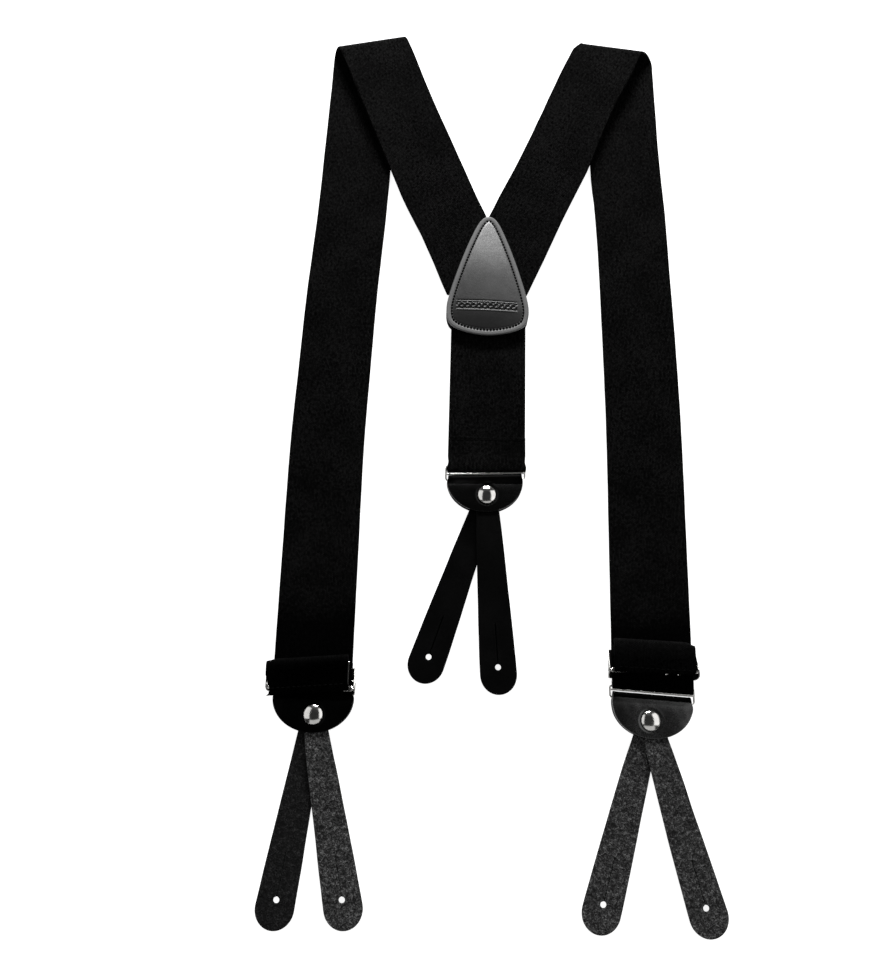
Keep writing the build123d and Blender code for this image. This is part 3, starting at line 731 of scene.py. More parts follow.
# ------------------------------------------------------------------ front straps
def front_strap(side):
    L = SIDES[side]
    t = columns(WEB_W)
    H0 = half_thickness(t, WEB_W)
    cx, by = L["cx"], L["by"]
    ty = by + TOP_BAR
    line = np.array(L["line"], float)
    fine = catmull(line, 12)
    y_of = lambda y: np.interp(y, fine[:, 1], fine[:, 0])

    # direction of the strap at the fold, and of the crease that sends it along the measured run
    y_top = 296.0
    slope = (y_of(y_top) - y_of(y_top - 30)) / 30.0
    d = np.array([slope, 1.0]) / math.hypot(slope, 1.0)
    u = np.array(L["v_dir"], float)
    u /= np.linalg.norm(u)
    ang = (math.atan2(d[1], d[0]) + math.atan2(u[1], u[0])) / 2
    e = np.array([math.cos(ang), math.sin(ang)])
    nn = np.array([-e[1], e[0]])
    # the crease starts one radius short of the outermost line of the fold
    R0 = L["roll"]
    oc = np.array(L["crease"], float)
    # point where the centre line meets the crease
    y = 300.0
    for _ in range(30):
        c = np.array([y_of(296) + slope * (y - 296), y])
        y -= float((c - oc) @ nn) / nn[1]
    O = np.array([y_of(296) + slope * (y - 296), y])

    def centre(s):
        """Flat centre line, s measured in y up to the fold and then straight on."""
        yy = np.asarray(s, float)
        x = np.where(yy <= 296, y_of(np.minimum(yy, 296)), y_of(296) + slope * (yy - 296))
        return x, yy

    # sideways slip in the fold that puts the run on its line
    dd = d @ nn
    fold_len = math.pi * R0
    start_run = O + e * ((d @ e) / dd * fold_len)
    nvec = np.array(L["v_normal"])
    slip = (L["v_off"] - float(nvec @ start_run)) / float(nvec @ e)

    def place(X, Y):
        """Flat strap point to folded place: returns x, y, z of the mid surface."""
        rx, ry = X - O[0], Y - O[1]
        c = rx * e[0] + ry * e[1]
        q = rx * nn[0] + ry * nn[1]
        R = R0 * (1 + L["cone"] * c / 25.0)
        lay = WEB_T / 2 + 0.95 * (1 - smooth((Y + 3) / 43.0))
        a = np.where(q <= 0, q, np.where(q < math.pi * R, R * np.sin(np.clip(q / R, 0, math.pi)), -(q - math.pi * R)))
        run = np.maximum(q - math.pi * R, 0)
        top = WEB_T / 2 + 2 * R
        low = L["v_z"] + WEB_T / 2
        # softly falling run: level over the fold, then down to the yoke
        f = smooth((run - 4) / 150.0) * 0.55 + 0.45 * np.clip((run - 6) / 152.0, 0, 1)
        zrun = top + (low - top) * np.clip(f, 0, 1)
        zroll = WEB_T / 2 + R * (1 - np.cos(np.clip(q / R, 0, math.pi)))
        z = np.where(q <= 0, lay, np.where(q < math.pi * R, zroll, zrun))
        c2 = c + slip * smooth(q / (math.pi * R))
        return O[0] + e[0] * c2 + nn[0] * a, O[1] + e[1] * c2 + nn[1] * a, z, q

    rows_X, rows_Y, rows_S = [], [], []
    # turn under the link's top bar is its own piece; this one starts on the under layer
    y0 = ty + 3.0
    ys = np.concatenate([np.arange(y0, O[1] - 9.0, 2.4)])
    s_acc = ys - y0
    for yy in ys:
        x0, _ = centre(yy)
        dx = (centre(yy + 1)[0] - centre(yy - 1)[0]) / 2
        n2 = np.array([1.0, -dx]) / math.hypot(1, dx)
        rows_X.append(x0 + n2[0] * t)
        rows_Y.append(yy + n2[1] * t)
        rows_S.append(np.full_like(t, yy - y0))
    n2 = np.array([d[1], -d[0]])
    base_s = rows_S[-1][0]
    last = np.array([centre(ys[-1])[0], ys[-1]])
    fold_rows = np.arange(0.9, 9 + fold_len / dd + 12.0, 0.9)
    for s in fold_rows:
        p = last + d * s
        rows_X.append(p[0] + n2[0] * t)
        rows_Y.append(p[1] + n2[1] * t)
        rows_S.append(np.full_like(t, base_s + s))
    s1 = fold_rows[-1]
    # the run ends level under the yoke patch, so each column has its own length
    def final_y(s):
        X = last[0] + d[0] * s + n2[0] * t
        Y = last[1] + d[1] * s + n2[1] * t
        return place(X, Y)[1]
    ya, yb = final_y(150.0), final_y(160.0)
    end_s = 150.0 + (YOKE_CUT + 0.6 - ya) / ((yb - ya) / 10.0)
    for f in np.linspace(0, 1, 76)[1:]:
        s = s1 + (end_s - s1) * f
        rows_X.append(last[0] + d[0] * s + n2[0] * t)
        rows_Y.append(last[1] + d[1] * s + n2[1] * t)
        rows_S.append(base_s + s)
    X, Y, S = np.array(rows_X), np.array(rows_Y), np.array(rows_S)
    T = np.broadcast_to(t, X.shape)
    px, py, pz, q = place(X, Y)
    # easy waves in the free lengths: edges lift a little, nothing is dead flat
    free = smooth((Y + 5) / 40.0) * (1 - smooth((Y - (O[1] - 40)) / 35.0)) * (q <= 0)
    wave = np.array([[noise.noise(Vector((0.0, s / 62.0, L["seed"]))) for s in S[:, 0]]]).T
    tilt = np.array([[noise.noise(Vector((5.0, s / 85.0, L["seed"]))) for s in S[:, 0]]]).T
    edge = (np.abs(T) / 25.0) ** 2
    pz = pz + free * np.clip(0.55 + 0.8 * wave + tilt * T / 25.0 * 0.8 + 0.35 * edge, 0, None) * 0.9
    run = np.maximum(q - fold_len, 0)
    on_run = (q > fold_len) * smooth(run / 30.0) * (1 - smooth((run - 100) / 40.0))
    pz = pz + on_run * (0.5 * wave + 0.6 * tilt * T / 25.0 - 0.9 * (1 - edge) * 0.6)
    # the webbing's own easy curves: each edge follows its measured line
    wr = smooth(q / fold_len)
    f_t = (T + WEB_W / 2) / WEB_W
    def edge_line(key, yy):
        tab_ = np.array(L[key], float)
        return np.interp(yy, tab_[:, 0], tab_[:, 1])
    nx = (1 - wr) * (edge_line("front_l", py) * (1 - f_t) + edge_line("front_r", py) * f_t)
    nx = nx + wr * (edge_line("run_l", py) * (1 - f_t) + edge_line("run_r", py) * f_t)
    x_ref, lift_a, lift_b = L["lift"]
    ny = smooth((py - 272.0) / 28.0) * (lift_a + (lift_b - lift_a) * np.clip((px - x_ref) / 50.0, -0.1, 1.1))
    px = px + nx
    py = py + ny
    if L["corner"]:
        xc, yc, amount = L["corner"]
        px = px + amount * smooth((py - (yc - 5)) / 5.0) * smooth((xc + 8 - px) / 8.0)
    # the selvedge wanders a hair
    wander = np.array([noise.noise(Vector((9.0, s / 24.0, L["seed"]))) for s in S[:, 0]])[:, None]
    px = px + wander * 0.18 * (np.abs(T) > 20)
    P = np.stack([px, py, pz], 2)
    H = H0[None] * np.ones_like(pz)
    ob = band(f"{side}_webbing", P, S, T, H, M_WEB)
    length = float(np.mean(S[-1]))
    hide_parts(f"{side}_strap", f"{side}_strap_loop")
    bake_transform(ob)
    return ob, length


def return_band(side):
    L = SIDES[side]
    cx, by = L["cx"], L["by"]
    ty = by + TOP_BAR
    t = columns(51.2)
    cx = cx + (0.3 if side == "right" else 0.0)
    r = 1.55
    stretch = 1.0 if side == "left" else 1.5
    zl = 0.95 + WEB_T / 2
    path = [(ty + 2.9, zl), (ty + 1.5, zl), (ty, zl)]
    for i in range(1, 13):
        a = math.radians(-90 - 180 * i / 12)
        path.append((ty + stretch * r * math.cos(a) * 1.12, BAR_Z + r * math.sin(a)))
    path += [(ty + 1.5, 4.95), (ty + 3.5, 5.0), (ty + 7, 4.85), (L["flap_y"] - 14, 4.8), (L["flap_y"] - 3.0, 4.8)]
    path = catmull(path, 4)
    path, s = resample(path, 0.7)
    P = np.zeros((len(path), len(t), 3))
    P[:, :, 0] = cx + t[None]
    P[:, :, 1] = path[:, :1]
    P[:, :, 2] = path[:, 1:]
    S = np.broadcast_to(s[:, None] + 500, P.shape[:2])
    T = np.broadcast_to(t, P.shape[:2])
    # the turned edge bellies a little between the bar's ends
    low = bump(P[:, :, 1], ty - 1.5, 2.2)
    P[:, :, 1] -= low * 0.25 * (1 - (T / 25.0) ** 2)
    P[:, :, 1] += math.tan(math.radians(L["lean"])) * T * smooth((ty + 2.5 - P[:, :, 1]) / 3.0)
    H = half_thickness(t, 51.2)[None] * np.ones(P.shape[:2])
    # the return band carries the painted shade of the darker end copy of the webbing
    ob = band(f"{side}_return_webbing", P, S, T, H, M_WEB_RIGHT_END_PAINTED_LIGHT)
    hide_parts(f"{side}_return_band")
    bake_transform(ob)
    return ob, float(s[-1])


def end_flap(side):
    L = SIDES[side]
    cx = L["cx"] + L["flap_dx"]
    fy = L["flap_y"]
    t = columns(51.4, 26)
    # across the flap: path from the cut end inside, round the toothed bar, down the outer face
    low = 22.4 if side == "left" else 20.6
    path = [(fy - 17.4, 6.42), (fy - 10, 6.42), (fy - 4.2, 6.42)]
    for i in range(0, 13):
        a = math.radians(-80 + 150 * i / 12)
        path.append((fy - 2.5 + 1.75 * math.cos(a), 8.05 + 1.62 * math.sin(a) + (0.12 if i > 6 else 0)))
    path += [(fy - 4.6, 9.86), (fy - 7.4, 9.62), (fy - 11, 9.2), (fy - 15, 8.98), (fy - 18.4, 8.96)]
    path += [(fy - low + 1.4, 8.9), (fy - low, 8.62 if side == "left" else 8.75)]
    path = catmull(path, 5)
    path, s = resample(path, 0.55)
    ns = len(path)
    P = np.zeros((ns, len(t), 3))
    T = np.broadcast_to(t, (ns, len(t)))
    S = np.broadcast_to(s[:, None] + 800, (ns, len(t)))
    P[:, :, 0] = t[None]
    P[:, :, 1] = path[:, :1] - fy
    P[:, :, 2] = path[:, 1:]
    outer = smooth((P[:, :, 2] - 8.3) / 0.8)
    edge = np.clip((np.abs(T) - 21.5) / 3.5, 0, 1) ** 2
    P[:, :, 2] -= outer * edge * 0.75
    w = wobble(T, P[:, :, 1] + 40 * (outer > 0.5), 9.0, L["seed"])
    P[:, :, 2] += outer * w * 0.16
    if side == "right":
        # corner turned in at the outer end, and an outer edge that dips towards the middle
        corner = smooth((T - 19) / 6.0) * smooth((P[:, :, 1] + 5.5) / 5.5)
        P[:, :, 1] -= corner * 2.0
        drop = smooth((-P[:, :, 1] - 12) / 8.0) * outer
        P[:, :, 1] -= drop * 0.9 * smooth((2.0 - T) / 14.0)
    else:
        corner = smooth((-T - 19) / 6.0) * smooth((P[:, :, 1] + 5.5) / 5.5)
        P[:, :, 1] -= corner * 1.0
    a = math.radians(L["flap_turn"])
    ca, sa = math.cos(a), math.sin(a)
    X = P[:, :, 0] * ca - (P[:, :, 1] + 10) * sa
    Y = P[:, :, 0] * sa + (P[:, :, 1] + 10) * ca - 10
    turn = outer * 0.85 + 0.15
    slide = (X - P[:, :, 0]) * 0.12
    if side == "left":
        # lower corner drawn in over the adjuster, other edge bellying out
        slide = slide + outer * 3.0 * smooth((-Y - 11.0) / 9.5) * smooth((-T - 10) / 15.0)
        slide = slide + outer * 2.2 * smooth((-Y - 14.0) / 9.0) * smooth((T - 10) / 15.0)
    else:
        slide = slide + outer * 1.1 * bump(Y, -15.0, 5.0) * smooth((T - 14) / 11.0)
        slide = slide - outer * 1.2 * smooth((-Y - 17.0) / 5.0) * smooth((T - 14) / 11.0)
    P[:, :, 0] = cx + T + slide
    P[:, :, 1] = fy + Y
    H = half_thickness(t, 51.4)[None] * np.ones((ns, len(t)))
    # the flap carries painted shade on its face and a painted highlight on its top roll, from its material
    ob = band(f"{side}_flap_webbing", P, S, T, H, M_WEB_LEFT_END_PAINTED_LIGHT if side == "left" else M_WEB_RIGHT_END_PAINTED_LIGHT)
    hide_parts(f"{side}_end_flap")
    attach(ob, f"{side}_toothed_bar")
    # stitches near the lower edge
    parts = []
    yy = -(20.2 - 2.2) if side == "right" else -(20.2 - 2.0)
    for i in range(14):
        x0 = (i - 6.5) * 3.3
        pts = []
        for j in range(7):
            f = j / 6 - 0.5
            xx, yv = x0 + f * 2.3, yy + 0.05 * math.sin(i * 2.1)
            zz = 9.80 + 0.10 * math.cos(f * math.pi)
            Xr = xx * ca - (yv + 10) * sa
            Yr = xx * sa + (yv + 10) * ca - 10
            pts.append((cx + Xr, fy + Yr, zz - 0.12))
        parts.append(tube_mesh(pts, 0.26, sides=8, taper=[0.35, 0.8, 1, 1, 1, 0.8, 0.35]))
    v, f = merge(parts)
    st = new_object(f"{side}_flap_stitches", v, f, material=M_THREAD)
    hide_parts(f"{side}_end_stitching")
    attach(st, f"{side}_toothed_bar")
    return ob, float(s[-1])


# ------------------------------------------------------------------ back strap
def back_strap():
    cx, by = BACK["cx"], BACK["by"]
    ty = by + TOP_BAR
    t = columns(51.2)
    r = 1.55
    zl = 0.95 + WEB_T / 2
    path = [(118, 2.15), (80, 2.15), (63, 2.12), (48, 1.9), (35, zl), (10, zl), (-12, zl), (ty, zl), (by + 8.0, zl)]
    cyy = by + 7.1
    for i in range(1, 13):
        a = math.radians(-90 - 180 * i / 12)
        path.append((cyy + r * 1.2 * math.cos(a), BAR_Z + 0.12 + r * math.sin(a) + 0.12 * (i > 6)))
    path += [(ty + 0.4, 5.15), (ty + 4, 4.9), (ty + 9, 4.25), (-9.5, 3.92), (-6.0, 3.88), (-2.6, 3.9)]
    path = catmull(path, 6)
    path, s = resample(path, 0.9)
    ns = len(path)
    P = np.zeros((ns, len(t), 3))
    T = np.broadcast_to(t, (ns, len(t)))
    S = np.broadcast_to(s[:, None] + 1000, (ns, len(t)))
    yy = np.broadcast_to(path[:, :1], (ns, len(t)))
    zz = np.broadcast_to(path[:, 1:], (ns, len(t)))
    # slightly narrower at the link, wider where the doubled end is rolled over the bar
    w = 1 - 0.035 * bump(yy, ty - 1, 4.0) * 0 - 0.024 * smooth((ty + 8 - yy) / 6.0)
    w = w + 0.045 * bump(yy, ty - 1.5, 3.5) * (zz > 3.2)
    lean = -1.0 * smooth((30 - yy) / 60.0) * 0
    P[:, :, 0] = cx + T * w + lean + 1.0 * (T + 25.6) / 51.2
    P[:, :, 1] = yy
    P[:, :, 2] = zz
    P[:, :, 1] += math.tan(math.radians(1.6)) * T * (zz > 3.0) * (yy < 5) * smooth((0 - yy) / 18.0)
    upper = (zz > 3.0) & (yy < 30)
    seam = upper * bump(yy, -5.2, 0.75)
    P[:, :, 2] -= seam * 0.28
    flat = (~upper) * smooth((yy + 2) / 30.0) * (1 - smooth((yy - 50) / 14.0))
    P[:, :, 2] += flat * 0.3 * (1 + wobble(T, yy, 40.0, 13.0))
    P[:, :, 2] += upper * smooth((-yy - 7) / 4.0) * 0.12 * wobble(T, yy, 10.0, 17.0)
    H = half_thickness(t, 51.2)[None] * np.ones((ns, len(t)))
    ob = band("back_webbing", P, S, T, H, M_WEB)
    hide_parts("back_strap")
    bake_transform(ob)
    parts = []
    for i in range(15):
        x0 = (i - 7) * 3.2
        pts = []
        for j in range(7):
            f = j / 6 - 0.5
            pts.append((cx + x0 + f * 2.5, -4.9 + 0.018 * x0 + 0.12 * math.sin(i * 1.7), 4.52 + 0.12 * math.cos(f * math.pi)))
        parts.append(tube_mesh(pts, 0.27, sides=8, taper=[0.35, 0.8, 1, 1, 1, 0.8, 0.35]))
    v, f = merge(parts)
    st = new_object("back_hem_stitches", v, f, material=M_THREAD)
    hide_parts("back_hem_stitching")
    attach(st, "yoke_and_straps")
    return ob, float(s[-1])


# ------------------------------------------------------------------ yoke
def yoke():
    pts = [(YOKE_X - x, y) for x, y in YOKE_HALF] + [(YOKE_X + x, y) for x, y in YOKE_HALF[-2:0:-1]]
    outline, _ = resample(catmull(pts, 12, closed=True), 1.1, closed=True)
    outline = outline if area_of(outline) > 0 else outline[::-1]
    extra = []
    for off in (-4.4, -3.9, -3.65, -3.45, -3.25, -3.0, -2.7, 2.7, 3.0, 3.3, 3.55, 3.8, 4.1):
        for xx in np.arange(-22.6, 22.6, 0.5):
            extra.append((YOKE_X + xx, 92.4 - 0.022 * xx + off))
    mesh2d = flat_mesh(outline, [], 0.6, rings=(0.12, 0.35, 0.7, 1.2, 1.8, 2.4, 2.9, 3.3, 3.9), extra=extra, seed=4)

    def flatmap(z):
        def go(v):
            P = np.column_stack([v, np.full(len(v), z)])
            return P, np.tile([0, 0, 1.0], (len(v), 1))
        return go

    # edge line that the seam follows
    seam_line = offset_loop(outline, 3.9)
    seam_line, seam_s = resample(seam_line, 0.5, closed=True)

    def band_yy(v):
        return v[:, 1] - 92.4 + 0.022 * (v[:, 0] - YOKE_X)

    def relief(v, d):
        x, y = v[:, 0] - YOKE_X, v[:, 1]
        rim = 0.30 * smooth(d / 0.6) * (1 - smooth((d - 2.7) / 0.7))
        groove = -0.05 * bump(d, 3.9, 0.7)
        inner = smooth((d - 4.4) / 2.2)
        # pillow with its ridge behind the stamped band, falling away quicker to the lower end
        up = np.where(y > 97, 1 - ((y - 97) / 72.0) ** 2, 1 - ((97 - y) / 25.0) ** 2)
        half_w = np.interp(y, [70.6, 71.5, 74, 77.9, 83.5, 91, 99, 112, 128, 143.5, 156, 161.6, 163.3], [0.1, 9.5, 19.0, 25.6, 28.4, 28.9, 27.6, 24.2, 19.2, 13.6, 8.2, 4.2, 0.1])
        across = np.clip(1 - (x / np.maximum(half_w - 1.0, 3.0)) ** 2, 0, 1)
        dome = 1.7 * across * np.clip(up, 0, 1) * smooth((d - 2.6) / 3.0)
        # plain woven-rope band pressed across the wide part, in a shallow frame
        half, hh = 21.6, 3.0
        in_x = smooth((half - np.abs(x + 0.6)) / 0.8)
        yy = band_yy(v)
        top_line = -0.34 * bump(yy, hh + 0.55, 0.40) * in_x
        low_line = 0.34 * bump(yy, -hh - 0.45, 0.42) * in_x
        end_line = 0.30 * bump(x + 0.6, -half + 0.5, 0.5) * (np.abs(yy) < hh)
        inside_band = in_x * smooth((hh - np.abs(yy)) / 0.5)
        ph = x / 4.0
        rope_a = np.abs(yy - 1.6 * np.sin(math.pi * ph))
        rope_b = np.abs(yy + 1.6 * np.sin(math.pi * ph))
        over = np.sin(math.pi * ph + math.pi / 2) > 0
        ra, rb = np.exp(-(rope_a / 0.75) ** 2), np.exp(-(rope_b / 0.75) ** 2)
        braid = np.where(over, np.maximum(ra, 0.5 * rb), np.maximum(rb, 0.5 * ra))
        emboss = inside_band * (-0.42 + 0.80 * braid)
        grainy = 0.018 * np.array([noise.noise(Vector((a * 0.9, b * 0.9, 3.0))) for a, b in v])
        return rim + groove + dome + emboss + top_line + low_line + end_line + grainy

    top = sheet_piece("yoke_front_leather", mesh2d, flatmap(7.0), 1.6, M_YOKE, top_extra=relief, edge_r=0.5, wall=0.35)
    # pressed edge band and stamped strip are finishes of their own on the same leather
    top.data.materials.append(M_YOKE_RIM)
    top.data.materials.append(M_YOKE_STAMP)
    v2, tri, _, d2 = mesh2d
    cen, dc = v2[tri].mean(1), d2[tri].mean(1)
    yy = band_yy(cen)
    xs_ = cen[:, 0] - YOKE_X + 0.6
    index = np.zeros(len(top.data.polygons), np.int32)
    index[:len(tri)] = np.where(dc < 4.6, 1, np.where((np.abs(xs_) < 21.4) & (np.abs(yy) < 3.1), 2, np.where((np.abs(xs_) < 21.6) & (yy < -3.1) & (yy > -3.8), 1, 0)))
    top.data.polygons.foreach_set("material_index", index)
    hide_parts("yoke_front_patch")
    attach(top, "yoke_and_straps")
    area = area_of(outline)
    w, l_ = float(np.ptp(outline[:, 0])), float(np.ptp(outline[:, 1]))
    mesh_b = flat_mesh(outline, [], 2.4, rings=(0.15, 0.5, 1.1), seed=5)
    bot = sheet_piece("yoke_back_leather", mesh_b, flatmap(0.65), 1.3, M_YOKE, edge_r=0.5, wall=0.35)
    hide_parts("yoke_back_patch")
    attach(bot, "yoke_and_straps")

    def seam_lift(x, y):
        return float(relief(np.array([[x, y]]), np.array([3.9]))[0])

    total = seam_s[-1] + 0.5
    count = int(round(total / 2.3))
    parts = []
    ring = np.vstack([seam_line, seam_line[:1]])
    ss = np.concatenate([seam_s, [total]])
    for i in range(count):
        s0 = (i + 0.5) * total / count
        pts3 = []
        for j in range(9):
            f = j / 8 - 0.5
            s = (s0 + f * 1.35) % total
            x = float(np.interp(s, ss, ring[:, 0]))
            y = float(np.interp(s, ss, ring[:, 1]))
            pts3.append((x, y, 7.62 + 0.10 * math.cos(f * math.pi) + seam_lift(x, y)))
        parts.append(tube_mesh(pts3, 0.76, sides=10, taper=[0.75, 0.97, 1, 1, 1, 1, 1, 0.97, 0.75]))
    v, f = merge(parts)
    st = new_object("yoke_stitches", v, f, material=M_THREAD)
    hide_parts("yoke_stitching")
    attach(st, "yoke_and_straps")
    return w, l_, area


# ------------------------------------------------------------------ end leathers
def end_leather(name, L, mat=M_END):
    cx, by, ln, rv = L["cx"] + L["sets"][1], L["by"], L["leather"], L["rivet"]
    rx = L["cx"] + L["sets"][2]
    tip = by - ln
    ry = by - rv
    r = 1.55
    push = L["push"]
    zl, zh = 1.65, 6.45
    path = [(tip, zl), (tip + 6, zl), (by - 8, zl), (by - 3, 1.68)]
    for i in range(0, 13):
        a = math.radians(-90 + 180 * i / 12)
        path.append((by + push + r * math.cos(a) * 1.02, BAR_Z + r * math.sin(a) + 0.15 * i / 12))
    path += [(by - 1.2, 5.35), (by - 4.2, 6.1), (by - 7.5, zh), (by - 11, zh + 0.02), (tip + 4, zh - 0.02), (tip, zh - 0.25)]
    dense = catmull(path, 8)
    seg = np.linalg.norm(np.diff(dense, axis=0), axis=1)
    s = np.concatenate([[0], np.cumsum(seg)])
    total = s[-1]
    # where along the sheet the lower and upper faces pass the rivet
    half = len(dense) // 2
    s_low = float(np.interp(ry, dense[:half, 0], s[:half]))
    up = dense[half:]
    s_up = float(np.interp(-ry, -up[:, 0], s[half:]))

    def width(yv, grow):
        top_y = by - 2.0
        tt = np.clip((top_y - yv) / (top_y - (tip - 0.02)), 0, 1)
        return (25.3 + grow) * np.sqrt(np.clip(1 - tt ** 2.06, 0, 1))

    lo_n = 44
    th = np.linspace(0, math.pi / 2, lo_n)
    # lower lobe from its tip, up one side, over the fold, down to the upper tip, and back
    top_y = by - 2.0

    def lobe(sign_tip):
        out = []
        for a in th:
            yv = top_y - (top_y - tip) * math.cos(a)
            out.append((25.3 * math.sin(a) ** 0.985 if a > 0 else 0.0, yv))
        return out
    lower = [(x, float(np.interp(y, dense[:half, 0], s[:half]))) for x, y in lobe(0)]
    upper = [(x, float(np.interp(-y, -up[:, 0], s[half:]))) for x, y in lobe(1)]
    neck = [(24.7, lower[-1][1] + 2.5), (24.5, (lower[-1][1] + upper[-1][1]) / 2), (24.7, upper[-1][1] - 2.5)]
    side = lower + neck + upper[::-1]
    loop = [(cx + x, v) for x, v in side] + [(cx - x, v) for x, v in side[::-1][1:-1]]
    loop, _ = resample(np.array(loop), 0.9, closed=True)
    holes = []
    for sv in (s_low, s_up):
        holes.append(np.array([(rx + 2.05 * math.cos(a), sv + 2.05 * math.sin(a)) for a in np.linspace(0, 2 * math.pi, 29)[:-1]]))
    extra = []
    for rr in (5.8, 6.3, 6.8, 7.3, 7.9, 8.5, 9.2):
        for a in np.linspace(0, 2 * math.pi, int(rr * 7))[:-1]:
            extra.append((rx + rr * math.cos(a), s_up + rr * math.sin(a)))
    mesh2d = flat_mesh(loop, holes, 1.25, rings=(0.12, 0.35, 0.7, 1.15), extra=extra, seed=int(L["seed"]))

    def go(v):
        y = np.interp(v[:, 1], s, dense[:, 0])
        z = np.interp(v[:, 1], s, dense[:, 1])
        eps = 0.35
        ya, yb = np.interp(v[:, 1] - eps, s, dense[:, 0]), np.interp(v[:, 1] + eps, s, dense[:, 0])
        za, zb = np.interp(v[:, 1] - eps, s, dense[:, 1]), np.interp(v[:, 1] + eps, s, dense[:, 1])
        ty_, tz_ = yb - ya, zb - za
        k = np.hypot(ty_, tz_)
        N = np.column_stack([np.zeros(len(v)), tz_ / k, -ty_ / k])
        # the top face crowns between the rivet and the sides, and its rim is pulled down
        upm = smooth((v[:, 1] - (total / 2 + 3)) / 4.0)
        x = v[:, 0] - cx
        rr = np.hypot(v[:, 0] - rx, v[:, 1] - s_up)
        z = z + upm * (0.35 * bump(np.abs(x), 14, 7.5) * bump(v[:, 1] - s_up, 3, 10) - 0.25 * smooth((np.abs(x) - 19) / 6.0))
        z = z - upm * 0.10 * bump(rr, 0, 9)
        # the folded edge leans with the link's bar
        y = y + math.tan(math.radians(L["lean"])) * x * smooth((y - (ry + 3)) / 9.0)
        return np.column_stack([v[:, 0], y, z]), N

    def press(v, d):
        rr = np.hypot(v[:, 0] - rx, v[:, 1] - s_up)
        upm = smooth((v[:, 1] - (total / 2 + 3)) / 4.0)
        ring = -0.34 * bump(rr, 6.6, 0.5) + 0.07 * bump(rr, 7.9, 0.7) - 0.25 * (rr < 6.2)
        n = np.array([noise.noise(Vector((a * 0.22, b * 0.22, L["seed"]))) for a, b in v])
        crease = (0.24 if name == "right" else 0.05) * bump(v[:, 1] - (total / 2 + 4.6), 0, 0.75) * smooth((24.3 - np.abs(v[:, 0] - cx)) / 1.5)
        return upm * (ring + 0.10 * n) + crease

    ob = sheet_piece(f"{name}_leather", mesh2d, go, 1.5, mat, top_extra=press, edge_r=0.5, wall=0.4)
    # painted shade: the top faces just past the fold get the dark, almost unglossy copy, a painted band of shade along
    # the folded edge
    ob.data.materials.append(M_END_FOLD_SHADE)
    cs = mesh2d[0][mesh2d[1]].mean(1)[:, 1]
    fold_shade_faces = np.zeros(len(ob.data.polygons), np.int32)
    fold_shade_faces[:len(cs)] = (np.abs(cs - total / 2 - (0.4 if name == "right" else 2.2)) < (3.5 if name == "right" else 5.6)).astype(np.int32)
    ob.data.polygons.foreach_set("material_index", fold_shade_faces)
    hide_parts(f"{name}_end_leather")
    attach(ob, f"{name}_end")
    return float(np.ptp(loop[:, 0])), float(np.ptp(loop[:, 1]))


def rivets(name, L):
    cx, cy = L["cx"] + L["sets"][2], L["by"] - L["rivet"]
    z = 7.2 + 0.05
    prof = [(0, 0.15), (1.94, 0.15), (2.0, 0.3), (2.0, z), (5.6, z), (5.92, z + 0.04), (6.08, z + 0.2), (6.05, z + 0.4)]
    for i in range(1, 23):
        a = i / 22
        rr = 5.98 * (1 - a)
        prof.append((rr, z + 0.5 + 1.62 * (1 - (rr / 5.98) ** 2.25)))
    prof[-1] = (0, prof[-1][1])
    v, f = lathe(prof, cx, cy)
    cap = new_object(f"{name}_rivet", v, f, material=M_NICKEL, sharp=50)
    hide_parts(f"{name}_rivet_cap")
    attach(cap, f"{name}_end")
    prof = [(2.06, 0.0), (2.06, 0.85), (5.2, 0.85), (5.45, 0.75), (5.5, 0.5), (5.42, 0.25), (5.1, 0.06), (2.4, 0.0), (2.06, 0.0)]
    seg = 56
    verts, faces = [], []
    for rr, zz in prof[:-1]:
        for k in range(seg):
            a = 2 * math.pi * k / seg
            verts.append((cx + rr * math.cos(a), cy + rr * math.sin(a), zz))
    n = len(prof) - 1
    for i in range(n):
        j = (i + 1) % n
        for k in range(seg):
            l_ = (k + 1) % seg
            faces.append((i * seg + k, j * seg + k, j * seg + l_, i * seg + l_))
    bk = new_object(f"{name}_rivet_base", verts, faces, material=M_NICKEL, sharp=50)
    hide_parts(f"{name}_rivet_back")
    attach(bk, f"{name}_end")


